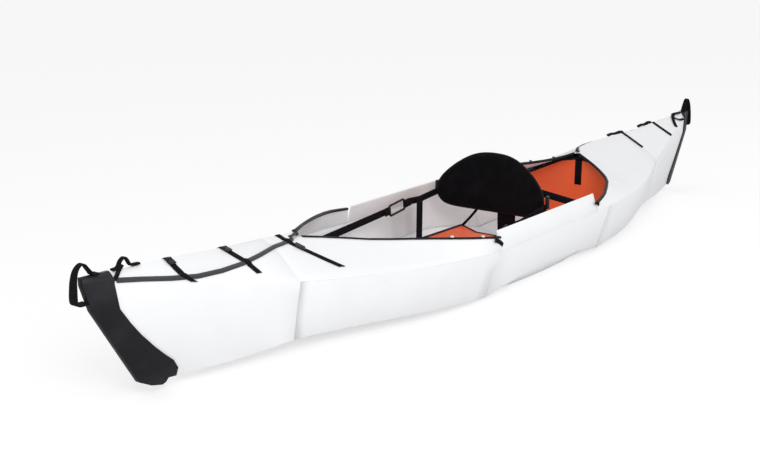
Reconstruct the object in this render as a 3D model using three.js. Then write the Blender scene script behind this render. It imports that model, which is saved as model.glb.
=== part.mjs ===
// A folding kayak: one creased plastic sheet, closed along two deck seams, with its seat and straps.
// Millimetres, +Z up. The bow points to -X, port is -Y, and the flat bottom stands on z = 0.
import * as THREE from 'three';

// Hull sizes
const halfLength = 1826;
const halfBeam = 316;
const tipHeight = 350;
const foldPitch = 0.43264 * halfLength;
const sheetWall = 5;
const creaseGap = 0.3;
const footSetback = 0.0909 * halfLength;
const kneeSetback = 0.0131 * halfLength;
const bowApex = 0.56955 * halfLength;
const sternApex = 0.39321 * halfLength;
const rearRimStart = 0.15608 * halfLength;
const wallHeight = 66;
const wallTaper = 5;

// Edge trims, seam channels and end caps
const channelWidth = 13;
const trimLeg = 5.5;
const trimWall = 2;
const trimSlack = 0.6;
const capWall = 3.5;
const capSlack = 1;
const seatGap = 0.3;
const trimApexGap = 12;
const channelApexGap = { [-1]: 38, 1: 16 };

// Webbing
const strapWall = 2.2;
const deckStrapWidth = 20;
const sideStrapWidth = 25;
const girthStrapWidth = 38;
const handleWidth = 32;
const handleWall = 4;
const strapLift = 0.9;
const strapStep = 0.12;
const strapSplit = 45;

// Seat, backrest, bulkhead and foot brace
const seatLength = 380;
const seatHalfWidth = 173;
const seatFlatHalf = 105;
const seatHeight = 66;
const seatLip = 25;
const seatRear = 132;
const backrestHalf = 229;
const backrestHeight = 216;
const backrestFoot = 175;
const backrestX = 88;
const backrestSweep = 38;
const padWall = 26;
const bulkheadX = 0.40416 * halfLength;
const braceX = -0.43812 * halfLength;
const braceHalf = 120;
const braceHeight = 150;

const foldMid = foldPitch / 2;
const foldEnd = foldMid + foldPitch;
const crease = creaseGap / 2;
const capOut = capSlack + capWall;
const bevel = 1.3 * sheetWall;
const foldBevel = 0.2 * sheetWall;
const rimBevel = 0.5 * sheetWall;
const seamBevel = sheetWall;
const stemBevel = 4.4 * sheetWall;
const narrowShare = 0.5;
const webHalf = 0.8;
const seamInset = webHalf + trimSlack;
const channelSlack = 0.9;
const rimFlat = 14;
const rimFlatTip = 8;
const nearShare = 0.45;
const deckStrips = 4;
const wallLean = 20;
const trimStart = 0.03;
const channelCrown = 1.2;
const channelGrip = 0.6;
const buckleWidth = 22;
const buckleWall = 4;
const tieWidth = 10;
const sternTieWidth = 16;
const tieWall = 6;
const riserShare = 0.6;
const riserInset = 30;
const backrestMiddle = 0.45;
const boardWall = 5;
const boardShare = 0.93;
const handleRise = { [-1]: 1, 1: 1.6 };
const anchorLength = 60;
const boardEnds = [0.6, 0.36];
const boardHold = 0.79;
const anchorSlope = 0.06;
const ringHeight = 46;
const ringBar = 7;
const ringTail = 26;
const ringDrop = { [-1]: 0.09, 1: 0 };
const webbingWidth = 75;
const webbingPlace = -0.19;
const webbingHold = 40;
const webbingStep = 14;
const tetherPlace = 0.3;
const bulkheadSide = 2.5;
const bulkheadTop = 12;
const bulkheadShoulder = 0.3;
const bulkheadPeak = 0.4;
const bulkheadStrapTop = 0.97;
const bulkheadStrapFoot = 0.6;
const bulkheadStrapWidth = 30;
const braceShoulder = 0.85;
const bottomStop = 0.9;
const deckStop = 0.92;
const channelStop = 0.86;
const sternSpread = 1.5;
const seamNear = 0.55;
const seamClear = 0.95;
const curveSteps = 40;
const handleSteps = 24;
const tieSteps = 18;
const webbingSteps = 16;
const tetherSteps = 6;
const outlineSteps = 44;
const webbingBend = 0.6;
const tetherRise = 0.28;
// Points of the side straps as shares of the half length, half beam and tip height
const strapPoints = {
  wing: [0.027, 0.709, 0.65],
  bend: [-0.057, 0.655, 0.64],
  ringBack: [-0.0986, 0.677, 0.631],
  ringFront: [-0.149, 0.711, 0.589],
  anchor: [-0.39, 0.7],
  rearAnchor: [0.118, 0.97, 0.64],
};
const PORT = -1;
const STARBOARD = 1;
const BOW = -1;
const STERN = 1;

const materials = {
  shell: new THREE.MeshStandardMaterial({ color: 0xf3f3f4, roughness: 0.45, metalness: 0 }),
  orange: new THREE.MeshStandardMaterial({ color: 0xf0552a, roughness: 0.5, metalness: 0 }),
  channel: new THREE.MeshStandardMaterial({ color: 0x46464a, roughness: 0.55, metalness: 0 }),
  cap: new THREE.MeshStandardMaterial({ color: 0x17151a, roughness: 0.6, metalness: 0 }),
  webbing: new THREE.MeshStandardMaterial({ color: 0x141316, roughness: 0.85, metalness: 0 }),
  foam: new THREE.MeshStandardMaterial({ color: 0x121116, roughness: 0.9, metalness: 0 }),
  buckle: new THREE.MeshStandardMaterial({ color: 0x1b1b1e, roughness: 0.4, metalness: 0 }),
};

const kayak = new THREE.Group();
const vec = (x, y, z) => new THREE.Vector3(x, y, z);
const mix = (a, b, t) => a + (b - a) * t;
const between = (a, b, t) => a.clone().lerp(b, t);

function add(name, geometry, material) {
  const mesh = new THREE.Mesh(geometry, material);
  mesh.name = name;
  kayak.add(mesh);
}

// Faces are wound alike, and the sign of the volume says whether they point out
function closedGeometry(points, faces) {
  let volume = 0;
  for (const [a, b, c] of faces) {
    volume += points[a].dot(points[b].clone().cross(points[c]));
  }
  const geometry = new THREE.BufferGeometry();
  geometry.setAttribute('position', new THREE.Float32BufferAttribute(points.flatMap((p) => p.toArray()), 3));
  geometry.setIndex(faces.flatMap(([a, b, c]) => (volume > 0 ? [a, b, c] : [a, c, b])));
  return geometry;
}

// A bent sheet: lines run along it, and one flat strip lies between each pair of lines
// outside is 1 where along x across points out of the hull, and -1 where it points in
function sheet(lines, outside, {
  wall = sheetWall, edges = [bevel, bevel], insets = [crease, crease], ends = [foldBevel, foldBevel],
} = {}) {
  const last = lines.length - 1;
  const count = lines[0].length;
  const outer = [];
  const inner = [];
  for (let i = 0; i < count; i += 1) {
    const before = Math.max(i - 1, 0);
    const after = Math.min(i + 1, count - 1);
    const normals = lines.slice(1).map((line, k) => {
      const along = lines[k][after].clone().sub(lines[k][before]).add(line[after]).sub(line[before]);
      return along.cross(line[i].clone().sub(lines[k][i])).multiplyScalar(outside).normalize();
    });
    for (let j = 0; j <= last; j += 1) {
      const first = normals[Math.max(j - 1, 0)];
      const normal = first.clone().add(normals[Math.min(j, last - 1)]).normalize();
      const top = lines[j][i].clone();
      const bottom = lines[j][i].clone().addScaledVector(normal, -wall / normal.dot(first));
      if (j === 0 || j === last) {
        const inward = lines[j === 0 ? 1 : last - 1][i].clone().sub(lines[j][i]);
        const cut = Math.min(edges[j === 0 ? 0 : 1], inward.length() * narrowShare);
        const inset = insets[j === 0 ? 0 : 1];
        inward.normalize();
        top.addScaledVector(inward, inset);
        bottom.addScaledVector(inward, inset + cut);
      }
      if (i === 0 || i === count - 1) {
        const inward = lines[j][i === 0 ? 1 : count - 2].clone().sub(lines[j][i]).normalize();
        top.addScaledVector(inward, crease);
        bottom.addScaledVector(inward, crease + ends[i === 0 ? 0 : 1]);
      }
      outer.push(top);
      inner.push(bottom);
    }
  }
  const faces = [];
  const quad = (a, b, c, d) => faces.push([a, b, c], [a, c, d]);
  const width = last + 1;
  const deep = outer.length;
  for (let i = 0; i < count - 1; i += 1) {
    const low = i * width;
    const high = low + last;
    for (let a = low; a < high; a += 1) {
      quad(a, a + 1, a + width + 1, a + width);
      quad(deep + a, deep + a + width, deep + a + width + 1, deep + a + 1);
    }
    quad(low, low + width, deep + low + width, deep + low);
    quad(high, deep + high, deep + high + width, high + width);
  }
  const end = (count - 1) * width;
  for (let j = 0; j < last; j += 1) {
    quad(j, deep + j, deep + j + 1, j + 1);
    quad(end + j, end + j + 1, deep + end + j + 1, deep + end + j);
  }
  return closedGeometry(outer.concat(inner), faces);
}

// Solid from rings of equal counts, the flat section only tells how the two ends are closed
function loft(rings, section) {
  const flat = section.map(([a, b]) => new THREE.Vector2(a, b));
  const order = flat.map((p, i) => i);
  if (THREE.ShapeUtils.area(flat) < 0) {
    flat.reverse();
    order.reverse();
  }
  const points = rings.flatMap((ring) => order.map((i) => ring[i]));
  const size = flat.length;
  const faces = [];
  for (let i = 0; i < rings.length - 1; i += 1) {
    for (let j = 0; j < size; j += 1) {
      const a = i * size + j;
      const b = i * size + ((j + 1) % size);
      faces.push([a, b, b + size], [a, b + size, a + size]);
    }
  }
  const end = (rings.length - 1) * size;
  for (const [a, b, c] of THREE.ShapeUtils.triangulateShape(flat, [])) {
    faces.push([a, c, b], [end + a, end + b, end + c]);
  }
  return closedGeometry(points, faces);
}

// A section of [across, up] points carried along frames of { origin, across, up }
function sweep(frames, section) {
  return loft(frames.map(({ origin, across, up }) => section.map(([a, b]) => (
    origin.clone().addScaledVector(across, a).addScaledVector(up, b)))), section);
}

// Frames along a path: up stands on the webbing's face, and across is its width
function pathFrames(path, ups) {
  return path.map((origin, i) => {
    const along = path[Math.min(i + 1, path.length - 1)].clone().sub(path[Math.max(i - 1, 0)]);
    const across = along.clone().cross(ups[Math.min(i, ups.length - 1)]).normalize();
    return { origin, across, up: across.clone().cross(along).normalize() };
  });
}

function ribbon(path, ups, width, wall = strapWall) {
  const half = width / 2;
  return sweep(pathFrames(path, ups), [[-half, 0], [half, 0], [half, wall], [-half, wall]]);
}

// The hull's creases as [y, z] shares of the half beam and the tip height
// midShares run from fold to fold over the middle, and flankShares from a middle fold to an end fold
const midShares = [
  { at: -1, keel: [0.633, 0], chine: [0.829, 0.029], gunwale: [1, 0.495] },
  { at: -0.5, keel: [0.722, 0], chine: [0.924, 0.149], gunwale: [1, 0.503] },
  { at: 0, keel: [0.744, 0], chine: [0.949, 0.183], gunwale: [1, 0.511] },
  { at: 0.5, keel: [0.722, 0], chine: [0.924, 0.149], gunwale: [1, 0.519] },
  { at: 1, keel: [0.633, 0], chine: [0.829, 0.043], gunwale: [1, 0.527] },
];
const flankShares = [
  { at: 0, keel: [0.633, 0], chine: [0.829, 0.029], gunwale: [1, 0.495] },
  { at: 0.184, keel: [0.522, 0], chine: [0.81, 0.057], gunwale: [0.968, 0.514] },
  { at: 0.373, keel: [0.38, 0.006], chine: [0.759, 0.086], gunwale: [0.905, 0.54] },
  { at: 0.551, keel: [0.237, 0.017], chine: [0.661, 0.109], gunwale: [0.81, 0.56] },
  { at: 0.69, keel: [0.142, 0.026], chine: [0.554, 0.117], gunwale: [0.703, 0.577] },
  { at: 0.816, keel: [0.076, 0.034], chine: [0.462, 0.123], gunwale: [0.595, 0.594] },
  { at: 0.905, keel: [0.044, 0.043], chine: [0.411, 0.129], gunwale: [0.528, 0.614] },
  { at: 1, keel: [0.025, 0.051], chine: [0.367, 0.134], gunwale: [0.456, 0.64] },
];

const hullPoint = (x, [yShare, zShare], side) => vec(x, side * yShare * halfBeam, zShare * tipHeight);
const smooth = (points) => new THREE.CatmullRomCurve3(points, false, 'catmullrom', 0.5);

// The point of a curve at one place along the boat
function atX(curve, x) {
  let low = 0;
  let high = 1;
  const rising = curve.getPoint(1).x > curve.getPoint(0).x;
  for (let i = 0; i < curveSteps; i += 1) {
    const middle = (low + high) / 2;
    if ((curve.getPoint(middle).x < x) === rising) {
      low = middle;
    } else {
      high = middle;
    }
  }
  return curve.getPoint((low + high) / 2);
}

function evenly(start, stop, steps) {
  const parts = Math.round(steps);
  return Array.from({ length: parts + 1 }, (_, i) => (i === parts ? stop : mix(start, stop, i / parts)));
}

const pointsOf = (curve, steps) => curve.getPoints(Math.round(steps));

function midCurve(key, side) {
  return smooth(midShares.map((row) => hullPoint(row.at * foldMid, row[key], side)));
}

// The stern's mid fold stands a little higher than the bow's, and both ends are alike past it
function flankCurve(key, side, end) {
  const start = midShares[end === BOW ? 0 : midShares.length - 1][key][1];
  const raise = start - flankShares[0][key][1];
  return smooth(flankShares.map((row) => hullPoint(
    end * mix(foldMid, foldEnd, row.at), [row[key][0], row[key][1] + raise * (1 - row.at)], side)));
}

// Stations along the boat, shared by all the panels that meet at a crease
const midStations = evenly(-foldMid, rearRimStart, 7).concat(evenly(rearRimStart, foldMid, 4).slice(1));
const rimStations = {
  [BOW]: evenly(foldMid, bowApex, 10),
  [STERN]: evenly(1, 0, 9).map((t) => mix(sternApex, foldMid, t * t)),
};
const seamStations = {
  [BOW]: evenly(bowApex, foldEnd, 4),
  [STERN]: evenly(0, 1, 6).map((t) => mix(sternApex, foldEnd, t ** sternSpread)),
};
const endStations = evenly(0, 1, 8);
const seamSide = { [BOW]: PORT, [STERN]: STARBOARD };

const midLine = (key, side) => midStations.map((x) => atX(midCurve(key, side), x));

function flankLine(key, side, end) {
  const curve = flankCurve(key, side, end);
  return rimStations[end].concat(seamStations[end].slice(1)).map((x) => atX(curve, end * x));
}

// The cockpit rim on each side and, past its apex, the seam on one side and the ridge on the middle line
// At the bow the port rim ends lower, at the seam
// Each row is a share of the run from the rim's start to the apex, or from the apex to the end fold
const deckShapes = {
  [BOW]: {
    start: foldMid,
    apex: bowApex,
    [PORT]: [
      [0, 0.994, 0.634], [0.225, 0.861, 0.686], [0.457, 0.649, 0.737], [0.674, 0.411, 0.777],
      [0.845, 0.196, 0.826], [1, 0.03, 0.868],
    ],
    [STARBOARD]: [
      [0, 0.994, 0.651], [0.225, 0.88, 0.71], [0.457, 0.68, 0.762], [0.674, 0.44, 0.815],
      [0.845, 0.215, 0.868], [1, 0, 0.917],
    ],
    seam: [[0, 0.03, 0.868], [0.48, 0.095, 0.868], [1, 0.152, 0.88]],
    ridge: [[0, 0, 0.917], [0.48, 0, 0.911], [1, 0, 0.929]],
  },
  [STERN]: {
    start: rearRimStart,
    apex: sternApex,
    [PORT]: [
      [0, 0.994, 0.617], [0.231, 0.925, 0.66], [0.432, 0.815, 0.694], [0.589, 0.707, 0.715],
      [0.771, 0.517, 0.736], [0.933, 0.255, 0.792], [1, 0, 0.88],
    ],
    [STARBOARD]: [
      [0, 0.994, 0.617], [0.231, 0.905, 0.678], [0.432, 0.791, 0.716], [0.589, 0.68, 0.734],
      [0.771, 0.49, 0.75], [0.933, 0.237, 0.798], [1, 0, 0.88],
    ],
    seam: [[0, 0, 0.88], [0.07, 0.045, 0.91], [0.283, 0.08, 0.917], [0.604, 0.115, 0.9], [1, 0.152, 0.88]],
    ridge: [[0, 0, 0.88], [0.07, 0, 0.937], [0.283, 0, 0.952], [0.604, 0, 0.957], [1, 0, 0.949]],
  },
};

function deckCurve(end, key, side) {
  const shape = deckShapes[end];
  const [start, stop] = key === 'rim' ? [shape.start, shape.apex] : [shape.apex, foldEnd];
  const rows = key === 'rim' ? shape[side] : shape[key];
  return smooth(rows.map(([run, yShare, zShare]) => (
    vec(end * mix(start, stop, run), side * yShare * halfBeam, zShare * tipHeight))));
}

// The cockpit rim as its own curve, with the two stations over the middle panel at the stern
function rimLine(end, side) {
  const curve = deckCurve(end, 'rim', side);
  const first = midStations.filter((x) => end === STERN && x >= rearRimStart && x < foldMid);
  return first.concat(rimStations[end]).map((x) => atX(curve, end * x));
}

function underRim(end, side) {
  const first = midStations.filter((x) => end === STERN && x >= rearRimStart && x < foldMid);
  return first.map((x) => atX(midCurve('gunwale', side), x)).concat(flankLine('gunwale', side, end));
}

const pastApex = (end, key, side) => (
  seamStations[end].slice(1).map((x) => atX(deckCurve(end, key, side), end * x)));

// The deck lines of a flank, from the far gunwale over the ridge and the seam to the seam side's gunwale
function flankDeck(end) {
  const side = seamSide[end];
  const farRim = rimLine(end, -side);
  const far = underRim(end, -side);
  const seam = pastApex(end, 'seam', side);
  const middle = farRim.map((p, i) => {
    const down = far[i].clone().sub(p).normalize();
    return p.clone().addScaledVector(down, i < farRim.length - 1 ? rimFlat : rimFlatTip);
  });
  return {
    rimCount: farRim.length,
    far,
    ridge: middle.concat(pastApex(end, 'ridge', side)),
    farUpper: farRim.concat(seam),
    nearUpper: rimLine(end, side).concat(seam),
    near: underRim(end, side),
  };
}

// Past the end folds the creases run on to the stem: the chine to its foot, the gunwale to the tip
// Each row goes from the end fold to the stem, and its first number is a share of its line's run
const endShares = {
  keel: [[0, 0.025, 0.051], [0.45, 0.02, 0.06], [0.9, 0.01, 0.08], [1, 0.005, 0.09]],
  chine: [
    [0, 0.367, 0.134], [0.25, 0.272, 0.103], [0.5, 0.177, 0.086], [0.75, 0.092, 0.089], [1, 0.013, 0.12],
  ],
  belly: [[0, 0.43, 0.5], [0.25, 0.325, 0.56], [0.5, 0.221, 0.632], [0.75, 0.113, 0.7], [1, 0.013, 0.762]],
  gunwale: [
    [0, 0.456, 0.64], [0.25, 0.342, 0.714], [0.5, 0.228, 0.811], [0.75, 0.116, 0.892], [1, 0.013, 0.96],
  ],
  seam: [
    [0, 0.152, 0.88], [0.25, 0.25, 0.857], [0.5, 0.221, 0.854], [0.75, 0.108, 0.917], [1, 0.012, 0.985],
  ],
  ridge: [[0, 0, 0.929], [0.25, 0, 0.946], [0.5, 0, 0.977], [0.75, 0, 0.997], [1, 0, 1]],
};
const footShares = { [BOW]: 1, [STERN]: 0.93 };
const kneeShares = { [BOW]: 1, [STERN]: 0.3 };

function endReach(key, end) {
  if (key === 'keel' || key === 'chine') {
    return halfLength - footSetback * footShares[end];
  }
  return key === 'belly' ? halfLength - kneeSetback * kneeShares[end] : halfLength;
}

// The stern's ridge starts a little higher than the bow's
function endLine(key, side, end) {
  const reach = endReach(key, end);
  const rows = endShares[key];
  const raise = key === 'ridge' ? deckShapes[end].ridge.at(-1)[2] - rows[0][2] : 0;
  const curve = smooth(rows.map(([run, yShare, zShare]) => {
    const z = (zShare + raise * (1 - run)) * tipHeight;
    return vec(end * mix(foldEnd, reach, run), side * yShare * halfBeam, z);
  }));
  return endStations.map((t) => atX(curve, end * mix(foldEnd, reach, t)));
}

// Part of a line between two places counted in its stations
function cutLine(line, start, stop) {
  const at = (t) => {
    const low = Math.min(Math.floor(t), line.length - 2);
    return between(line[low], line[low + 1], t - low);
  };
  const inside = line.filter((p, i) => i > start && i < stop);
  return [at(start), ...inside, at(stop)];
}

// A line close beside an edge, so that the strip under a trim or a channel stays flat
function beside(line, neighbour) {
  return line.map((p, i) => {
    const gap = neighbour[i].clone().sub(p);
    return p.clone().addScaledVector(gap, Math.min(rimFlat / gap.length(), nearShare));
  });
}

// More lines between the given ones, so that a twisted panel bends evenly
function refine(lines, parts) {
  return lines.flatMap((line, k) => {
    if (k === 0) {
      return [line];
    }
    const before = lines[k - 1];
    return evenly(0, 1, parts[k - 1]).slice(1).map((t) => line.map((p, i) => between(before[i], p, t)));
  });
}

const endSteps = endStations.length - 1;
const endPart = (key, side, end, stop) => cutLine(endLine(key, side, end), 0, stop * endSteps);

function addBottom() {
  for (const end of [BOW, STERN]) {
    const line = (key, side) => (
      flankLine(key, side, end).concat(endPart(key, side, end, bottomStop).slice(1)));
    add(end === BOW ? 'bottom_panel_bow' : 'bottom_panel_stern', sheet(
      [line('chine', PORT), line('keel', PORT), line('keel', STARBOARD), line('chine', STARBOARD)], -end,
    ), materials.shell);
  }
  add('bottom_panel_mid', sheet([
    midLine('chine', PORT), midLine('keel', PORT), midLine('keel', STARBOARD), midLine('chine', STARBOARD),
  ], -1), materials.shell);
}

function addSides() {
  for (const side of [PORT, STARBOARD]) {
    const name = side === PORT ? 'side_panel_port_' : 'side_panel_starboard_';
    add(`${name}mid`, sheet([midLine('chine', side), midLine('gunwale', side)], -side), materials.shell);
    for (const end of [BOW, STERN]) {
      const flank = [flankLine('chine', side, end), flankLine('gunwale', side, end)];
      add(name + (end === BOW ? 'fore' : 'aft'), sheet(flank, -side * end), materials.shell);
      const lines = ['chine', 'belly', 'gunwale'].map((key) => endLine(key, side, end));
      if (side === seamSide[end]) {
        const seam = endLine('seam', side, end);
        lines.splice(2, 1, ...refine([lines[2], beside(seam, lines[2]), seam], [deckStrips, 1]));
      }
      add(name + (end === BOW ? 'bow' : 'stern'), sheet(
        lines, -side * end, {
          edges: [bevel, side === seamSide[end] ? seamBevel : bevel],
          insets: [crease, side === seamSide[end] ? seamInset : crease],
          ends: [foldBevel, stemBevel],
        },
      ), materials.shell);
    }
  }
}

function addDecks() {
  const options = { edges: [bevel, rimBevel], insets: [crease, seamInset] };
  for (const end of [BOW, STERN]) {
    const side = seamSide[end];
    const deck = flankDeck(end);
    const name = end === BOW ? 'foredeck_' : 'rear_deck_';
    const near = side === PORT ? 'port' : 'starboard';
    const far = side === PORT ? 'starboard' : 'port';
    add(name + near, sheet(
      refine([deck.near, beside(deck.nearUpper, deck.near), deck.nearUpper], [deckStrips, 1]),
      -side * end, options,
    ), materials.shell);
    add(name + far, sheet(
      refine([deck.far, deck.ridge, deck.farUpper], [deckStrips, 1]), side * end, options,
    ), materials.shell);
    const ridge = endPart('ridge', side, end, deckStop);
    const seam = endPart('seam', side, end, deckStop);
    const edge = endPart('gunwale', -side, end, deckStop);
    add(end === BOW ? 'deck_bow' : 'deck_stern', sheet(
      refine([edge, ridge, beside(seam, ridge), seam], [deckStrips, 2, 1]),
      side * end, options,
    ), materials.shell);
  }
}

// The upright walls beside the seat stand on the side panels' upper crease
function addWalls() {
  for (const side of [PORT, STARBOARD]) {
    const foot = midLine('gunwale', side).filter((p, i) => midStations[i] <= rearRimStart);
    const head = foot.map((p) => vec(p.x, side * (halfBeam - wallLean), p.z + wallHeight));
    head[head.length - 1].x -= wallTaper;
    add(side === PORT ? 'cockpit_wall_port' : 'cockpit_wall_starboard', sheet(
      [foot, head], -side, { edges: [bevel, foldBevel] },
    ), materials.shell);
  }
}

// Frames along a panel's edge: inward lies on the panel, and normal stands on its outer face
function edgeFrames(line, neighbour) {
  return line.map((origin, i) => {
    const along = line[Math.min(i + 1, line.length - 1)].clone().sub(line[Math.max(i - 1, 0)]);
    const next = neighbour[Math.min(i + 1, line.length - 1)].clone().sub(neighbour[Math.max(i - 1, 0)]);
    const inward = neighbour[i].clone().sub(origin).normalize();
    const normal = along.add(next).cross(inward).normalize();
    if (normal.z < 0) {
      normal.negate();
    }
    return { origin, across: inward, up: normal };
  });
}

function cutFrames(frames, start, stop) {
  const at = (t) => {
    const low = Math.min(Math.floor(t), frames.length - 2);
    const [a, b] = [frames[low], frames[low + 1]];
    return {
      origin: between(a.origin, b.origin, t - low),
      across: between(a.across, b.across, t - low).normalize(),
      up: between(a.up, b.up, t - low).normalize(),
    };
  };
  return [at(start), ...frames.filter((f, i) => i > start && i < stop), at(stop)];
}

// A black trim pushed over the rim, as a channel with a leg on each face of the sheet
function addTrims() {
  const out = trimSlack + trimWall;
  const deep = -sheetWall - trimSlack;
  const section = [
    [trimLeg, trimSlack], [trimLeg, out], [-trimWall, out], [-trimWall, deep - trimWall],
    [trimLeg, deep - trimWall], [trimLeg, deep], [0, deep], [0, trimSlack],
  ];
  for (const end of [BOW, STERN]) {
    const deck = flankDeck(end);
    for (const side of [PORT, STARBOARD]) {
      const near = side === seamSide[end];
      const last = deck.rimCount - 1;
      const line = (near ? deck.nearUpper : deck.farUpper).slice(0, last + 1);
      const inner = (near ? deck.near : deck.ridge).slice(0, last + 1);
      const step = line[last].distanceTo(line[last - 1]);
      const frames = cutFrames(edgeFrames(line, inner), trimStart, last - trimApexGap / step);
      add(`rim_trim_${side === PORT ? 'port' : 'starboard'}_${end === BOW ? 'front' : 'rear'}`,
        sweep(frames, section), materials.webbing);
    }
  }
}

// The seam channel grips the edges of the two decks, with a web between them
function seamRing(point, one, other) {
  const mean = one.up.clone().add(other.up).normalize();
  const lean = 1 / mean.dot(one.up);
  const drop = webHalf * Math.sqrt(lean * lean - 1);
  const across = one.across.clone().sub(other.across).normalize();
  const outer = channelSlack;
  const inner = -sheetWall - channelSlack;
  const on = (frame, a, b) => point.clone().addScaledVector(frame.across, a).addScaledVector(frame.up, b);
  const web = (a, b) => point.clone().addScaledVector(across, a).addScaledVector(mean, b * lean);
  const reach = channelWidth / 2;
  const grip = reach * channelGrip;
  return [
    on(one, reach, outer + trimWall), on(one, reach, outer), web(webHalf, outer), web(webHalf, inner - drop),
    on(one, grip, inner), on(one, grip, inner - trimWall), web(0, inner - drop - trimWall),
    on(other, grip, inner - trimWall), on(other, grip, inner), web(-webHalf, inner - drop),
    web(-webHalf, outer), on(other, reach, outer), on(other, reach, outer + trimWall),
    web(0, outer + trimWall + channelCrown),
  ];
}

function addSeamChannels() {
  const reach = channelWidth / 2;
  const out = channelSlack + trimWall;
  const deep = -sheetWall - channelSlack;
  const section = [
    [reach, out], [reach, channelSlack], [webHalf, channelSlack], [webHalf, deep], [reach, deep],
    [reach, deep - trimWall], [0, deep - trimWall], [-reach, deep - trimWall], [-reach, deep],
    [-webHalf, deep], [-webHalf, channelSlack], [-reach, channelSlack], [-reach, out],
    [0, out + channelCrown],
  ];
  for (const end of [BOW, STERN]) {
    const { seam, gunwale, ridge } = seamLines(end);
    const one = edgeFrames(seam, gunwale);
    const other = edgeFrames(seam, ridge);
    const stop = seamStations[end].length - 1 + channelStop * endSteps;
    const start = channelApexGap[end] / seam[1].distanceTo(seam[0]);
    const first = cutFrames(one, start, stop);
    const second = cutFrames(other, start, stop);
    add(end === BOW ? 'bow_seam_channel' : 'stern_seam_channel', loft(
      first.map((frame, i) => seamRing(frame.origin, frame, second[i])), section,
    ), materials.channel);
  }
}

// The closed seam from the apex to the stem, with the deck lines on both sides of it
function seamLines(end) {
  const deck = flankDeck(end);
  const side = seamSide[end];
  const from = deck.rimCount - 1;
  const run = (line, key, where) => line.slice(from).concat(endLine(key, where, end).slice(1));
  return {
    seam: run(deck.nearUpper, 'seam', side),
    gunwale: run(deck.near, 'gunwale', side),
    ridge: run(deck.ridge, 'ridge', side),
    far: run(deck.far, 'gunwale', -side),
  };
}

// How far back the end cap reaches, by the place down the stem: 0 is the chine, 1 the belly crease,
// 2 the gunwale and 3 the seam
const capRows = {
  [BOW]: [
    [3, 0.047], [2, 0.046], [1.6, 0.044], [1.2, 0.042], [1, 0.041], [0.8, 0.043], [0.635, 0.047],
    [0.45, 0.055], [0.315, 0.063], [0.22, 0.07], [0.107, 0.069], [0, 0.058],
  ],
  [STERN]: [
    [3, 0.033], [2, 0.032], [1.6, 0.031], [1.2, 0.03], [1, 0.029], [0.8, 0.031], [0.635, 0.034],
    [0.45, 0.039], [0.315, 0.043], [0.22, 0.048], [0.107, 0.048], [0, 0.041],
  ],
};
// Below the foot each row gives the side edge's reach and rise, then the sole's reach, width and drop
const soleRows = {
  [BOW]: [[0.048, 0.004, 0.016, 0.024, 0.042], [0.041, -0.006, 0.034, 0.022, 0.05]],
  [STERN]: [[0.034, 0.004, 0.011, 0.024, 0.013], [0.029, -0.004, 0.024, 0.022, 0.015]],
};

// A point on an end's side, by the place down the stem and the distance back from it
function endSide(end, down, back) {
  const lines = ['chine', 'belly', 'gunwale', 'seam'].map((key) => endLine(key, PORT, end));
  const k = Math.min(Math.floor(down), 2);
  const on = (line) => {
    const t = endSteps - back / line[endSteps].distanceTo(line[endSteps - 1]);
    const low = Math.min(Math.floor(t), endSteps - 1);
    return between(line[low], line[low + 1], t - low);
  };
  return between(on(lines[k]), on(lines[k + 1]), down - k);
}

// The cap's four long edges: aft and front on port, then front and aft on starboard
function capLines(end) {
  const side = [];
  const middle = [];
  const front = [];
  const topAft = endSide(end, 3, capRows[end][0][1] * halfLength);
  const ridge = vec(topAft.x, -capOut, tipHeight + capOut);
  side.push(topAft.clone().add(vec(0, -capOut, capWall)));
  middle.push(between(side[0], ridge, nearShare).add(vec(0, 0, capSlack)));
  front.push(ridge);
  for (const [down, reach] of capRows[end]) {
    const back = endSide(end, down, reach * halfLength);
    const stem = endSide(end, down, 0);
    const lower = endSide(end, Math.max(down - narrowShare, 0), 0);
    const upper = endSide(end, Math.min(down + narrowShare, 3), 0);
    const fall = lower.sub(upper).normalize();
    const forward = vec(-fall.z * end, 0, fall.x * end).normalize();
    side.push(back.add(vec(0, -capOut, 0)));
    middle.push(endSide(end, down, reach * halfLength * nearShare).add(vec(0, -capOut, 0)));
    front.push(stem.add(vec(0, -capOut, 0)).addScaledVector(forward, capOut));
  }
  for (const [reach, rise, soleReach, soleOut, soleDrop] of soleRows[end]) {
    const back = endSide(end, 0, reach * halfLength);
    const sole = endSide(end, 0, soleReach * halfLength);
    back.add(vec(0, -capOut - capSlack, rise * halfLength));
    sole.add(vec(0, -soleOut * halfBeam, -soleDrop * tipHeight));
    side.push(back);
    front.push(sole);
    middle.push(between(back, sole, nearShare).add(vec(0, -capSlack, 0)));
  }
  front[1].z = tipHeight + capOut;
  const mirrored = (line) => line.map((p) => vec(p.x, -p.y, p.z));
  return [side, middle, front, mirrored(front), mirrored(middle), mirrored(side)];
}

function addCaps() {
  for (const end of [BOW, STERN]) {
    add(end === BOW ? 'bow_cap' : 'stern_cap', sheet(capLines(end), end, {
      wall: capWall, edges: [0, 0], insets: [0, 0], ends: [0, 0],
    }), materials.cap);
  }
}

// A webbing loop over each tip, sewn flat to the cap's front edge and to its top
// Each row is a share of the half length and of the tip height
const handleShares = [
  [1.008, 0.832], [1.0125, 0.843], [1.0135, 0.88], [1.013, 0.94], [1.012, 1], [1.0085, 1.065], [1.002, 1.1],
  [0.9965, 1.1], [0.991, 1.065],
];
const handleFoot = 0.832;
const handleTops = [0.983, 0.974];

// Ups that stand on a path's face, away from the hull
function outwardUps(path, end) {
  return path.map((p, i) => {
    const along = path[Math.min(i + 1, path.length - 1)].clone().sub(path[Math.max(i - 1, 0)]);
    return along.cross(vec(0, 1, 0)).multiplyScalar(-end);
  });
}

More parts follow.
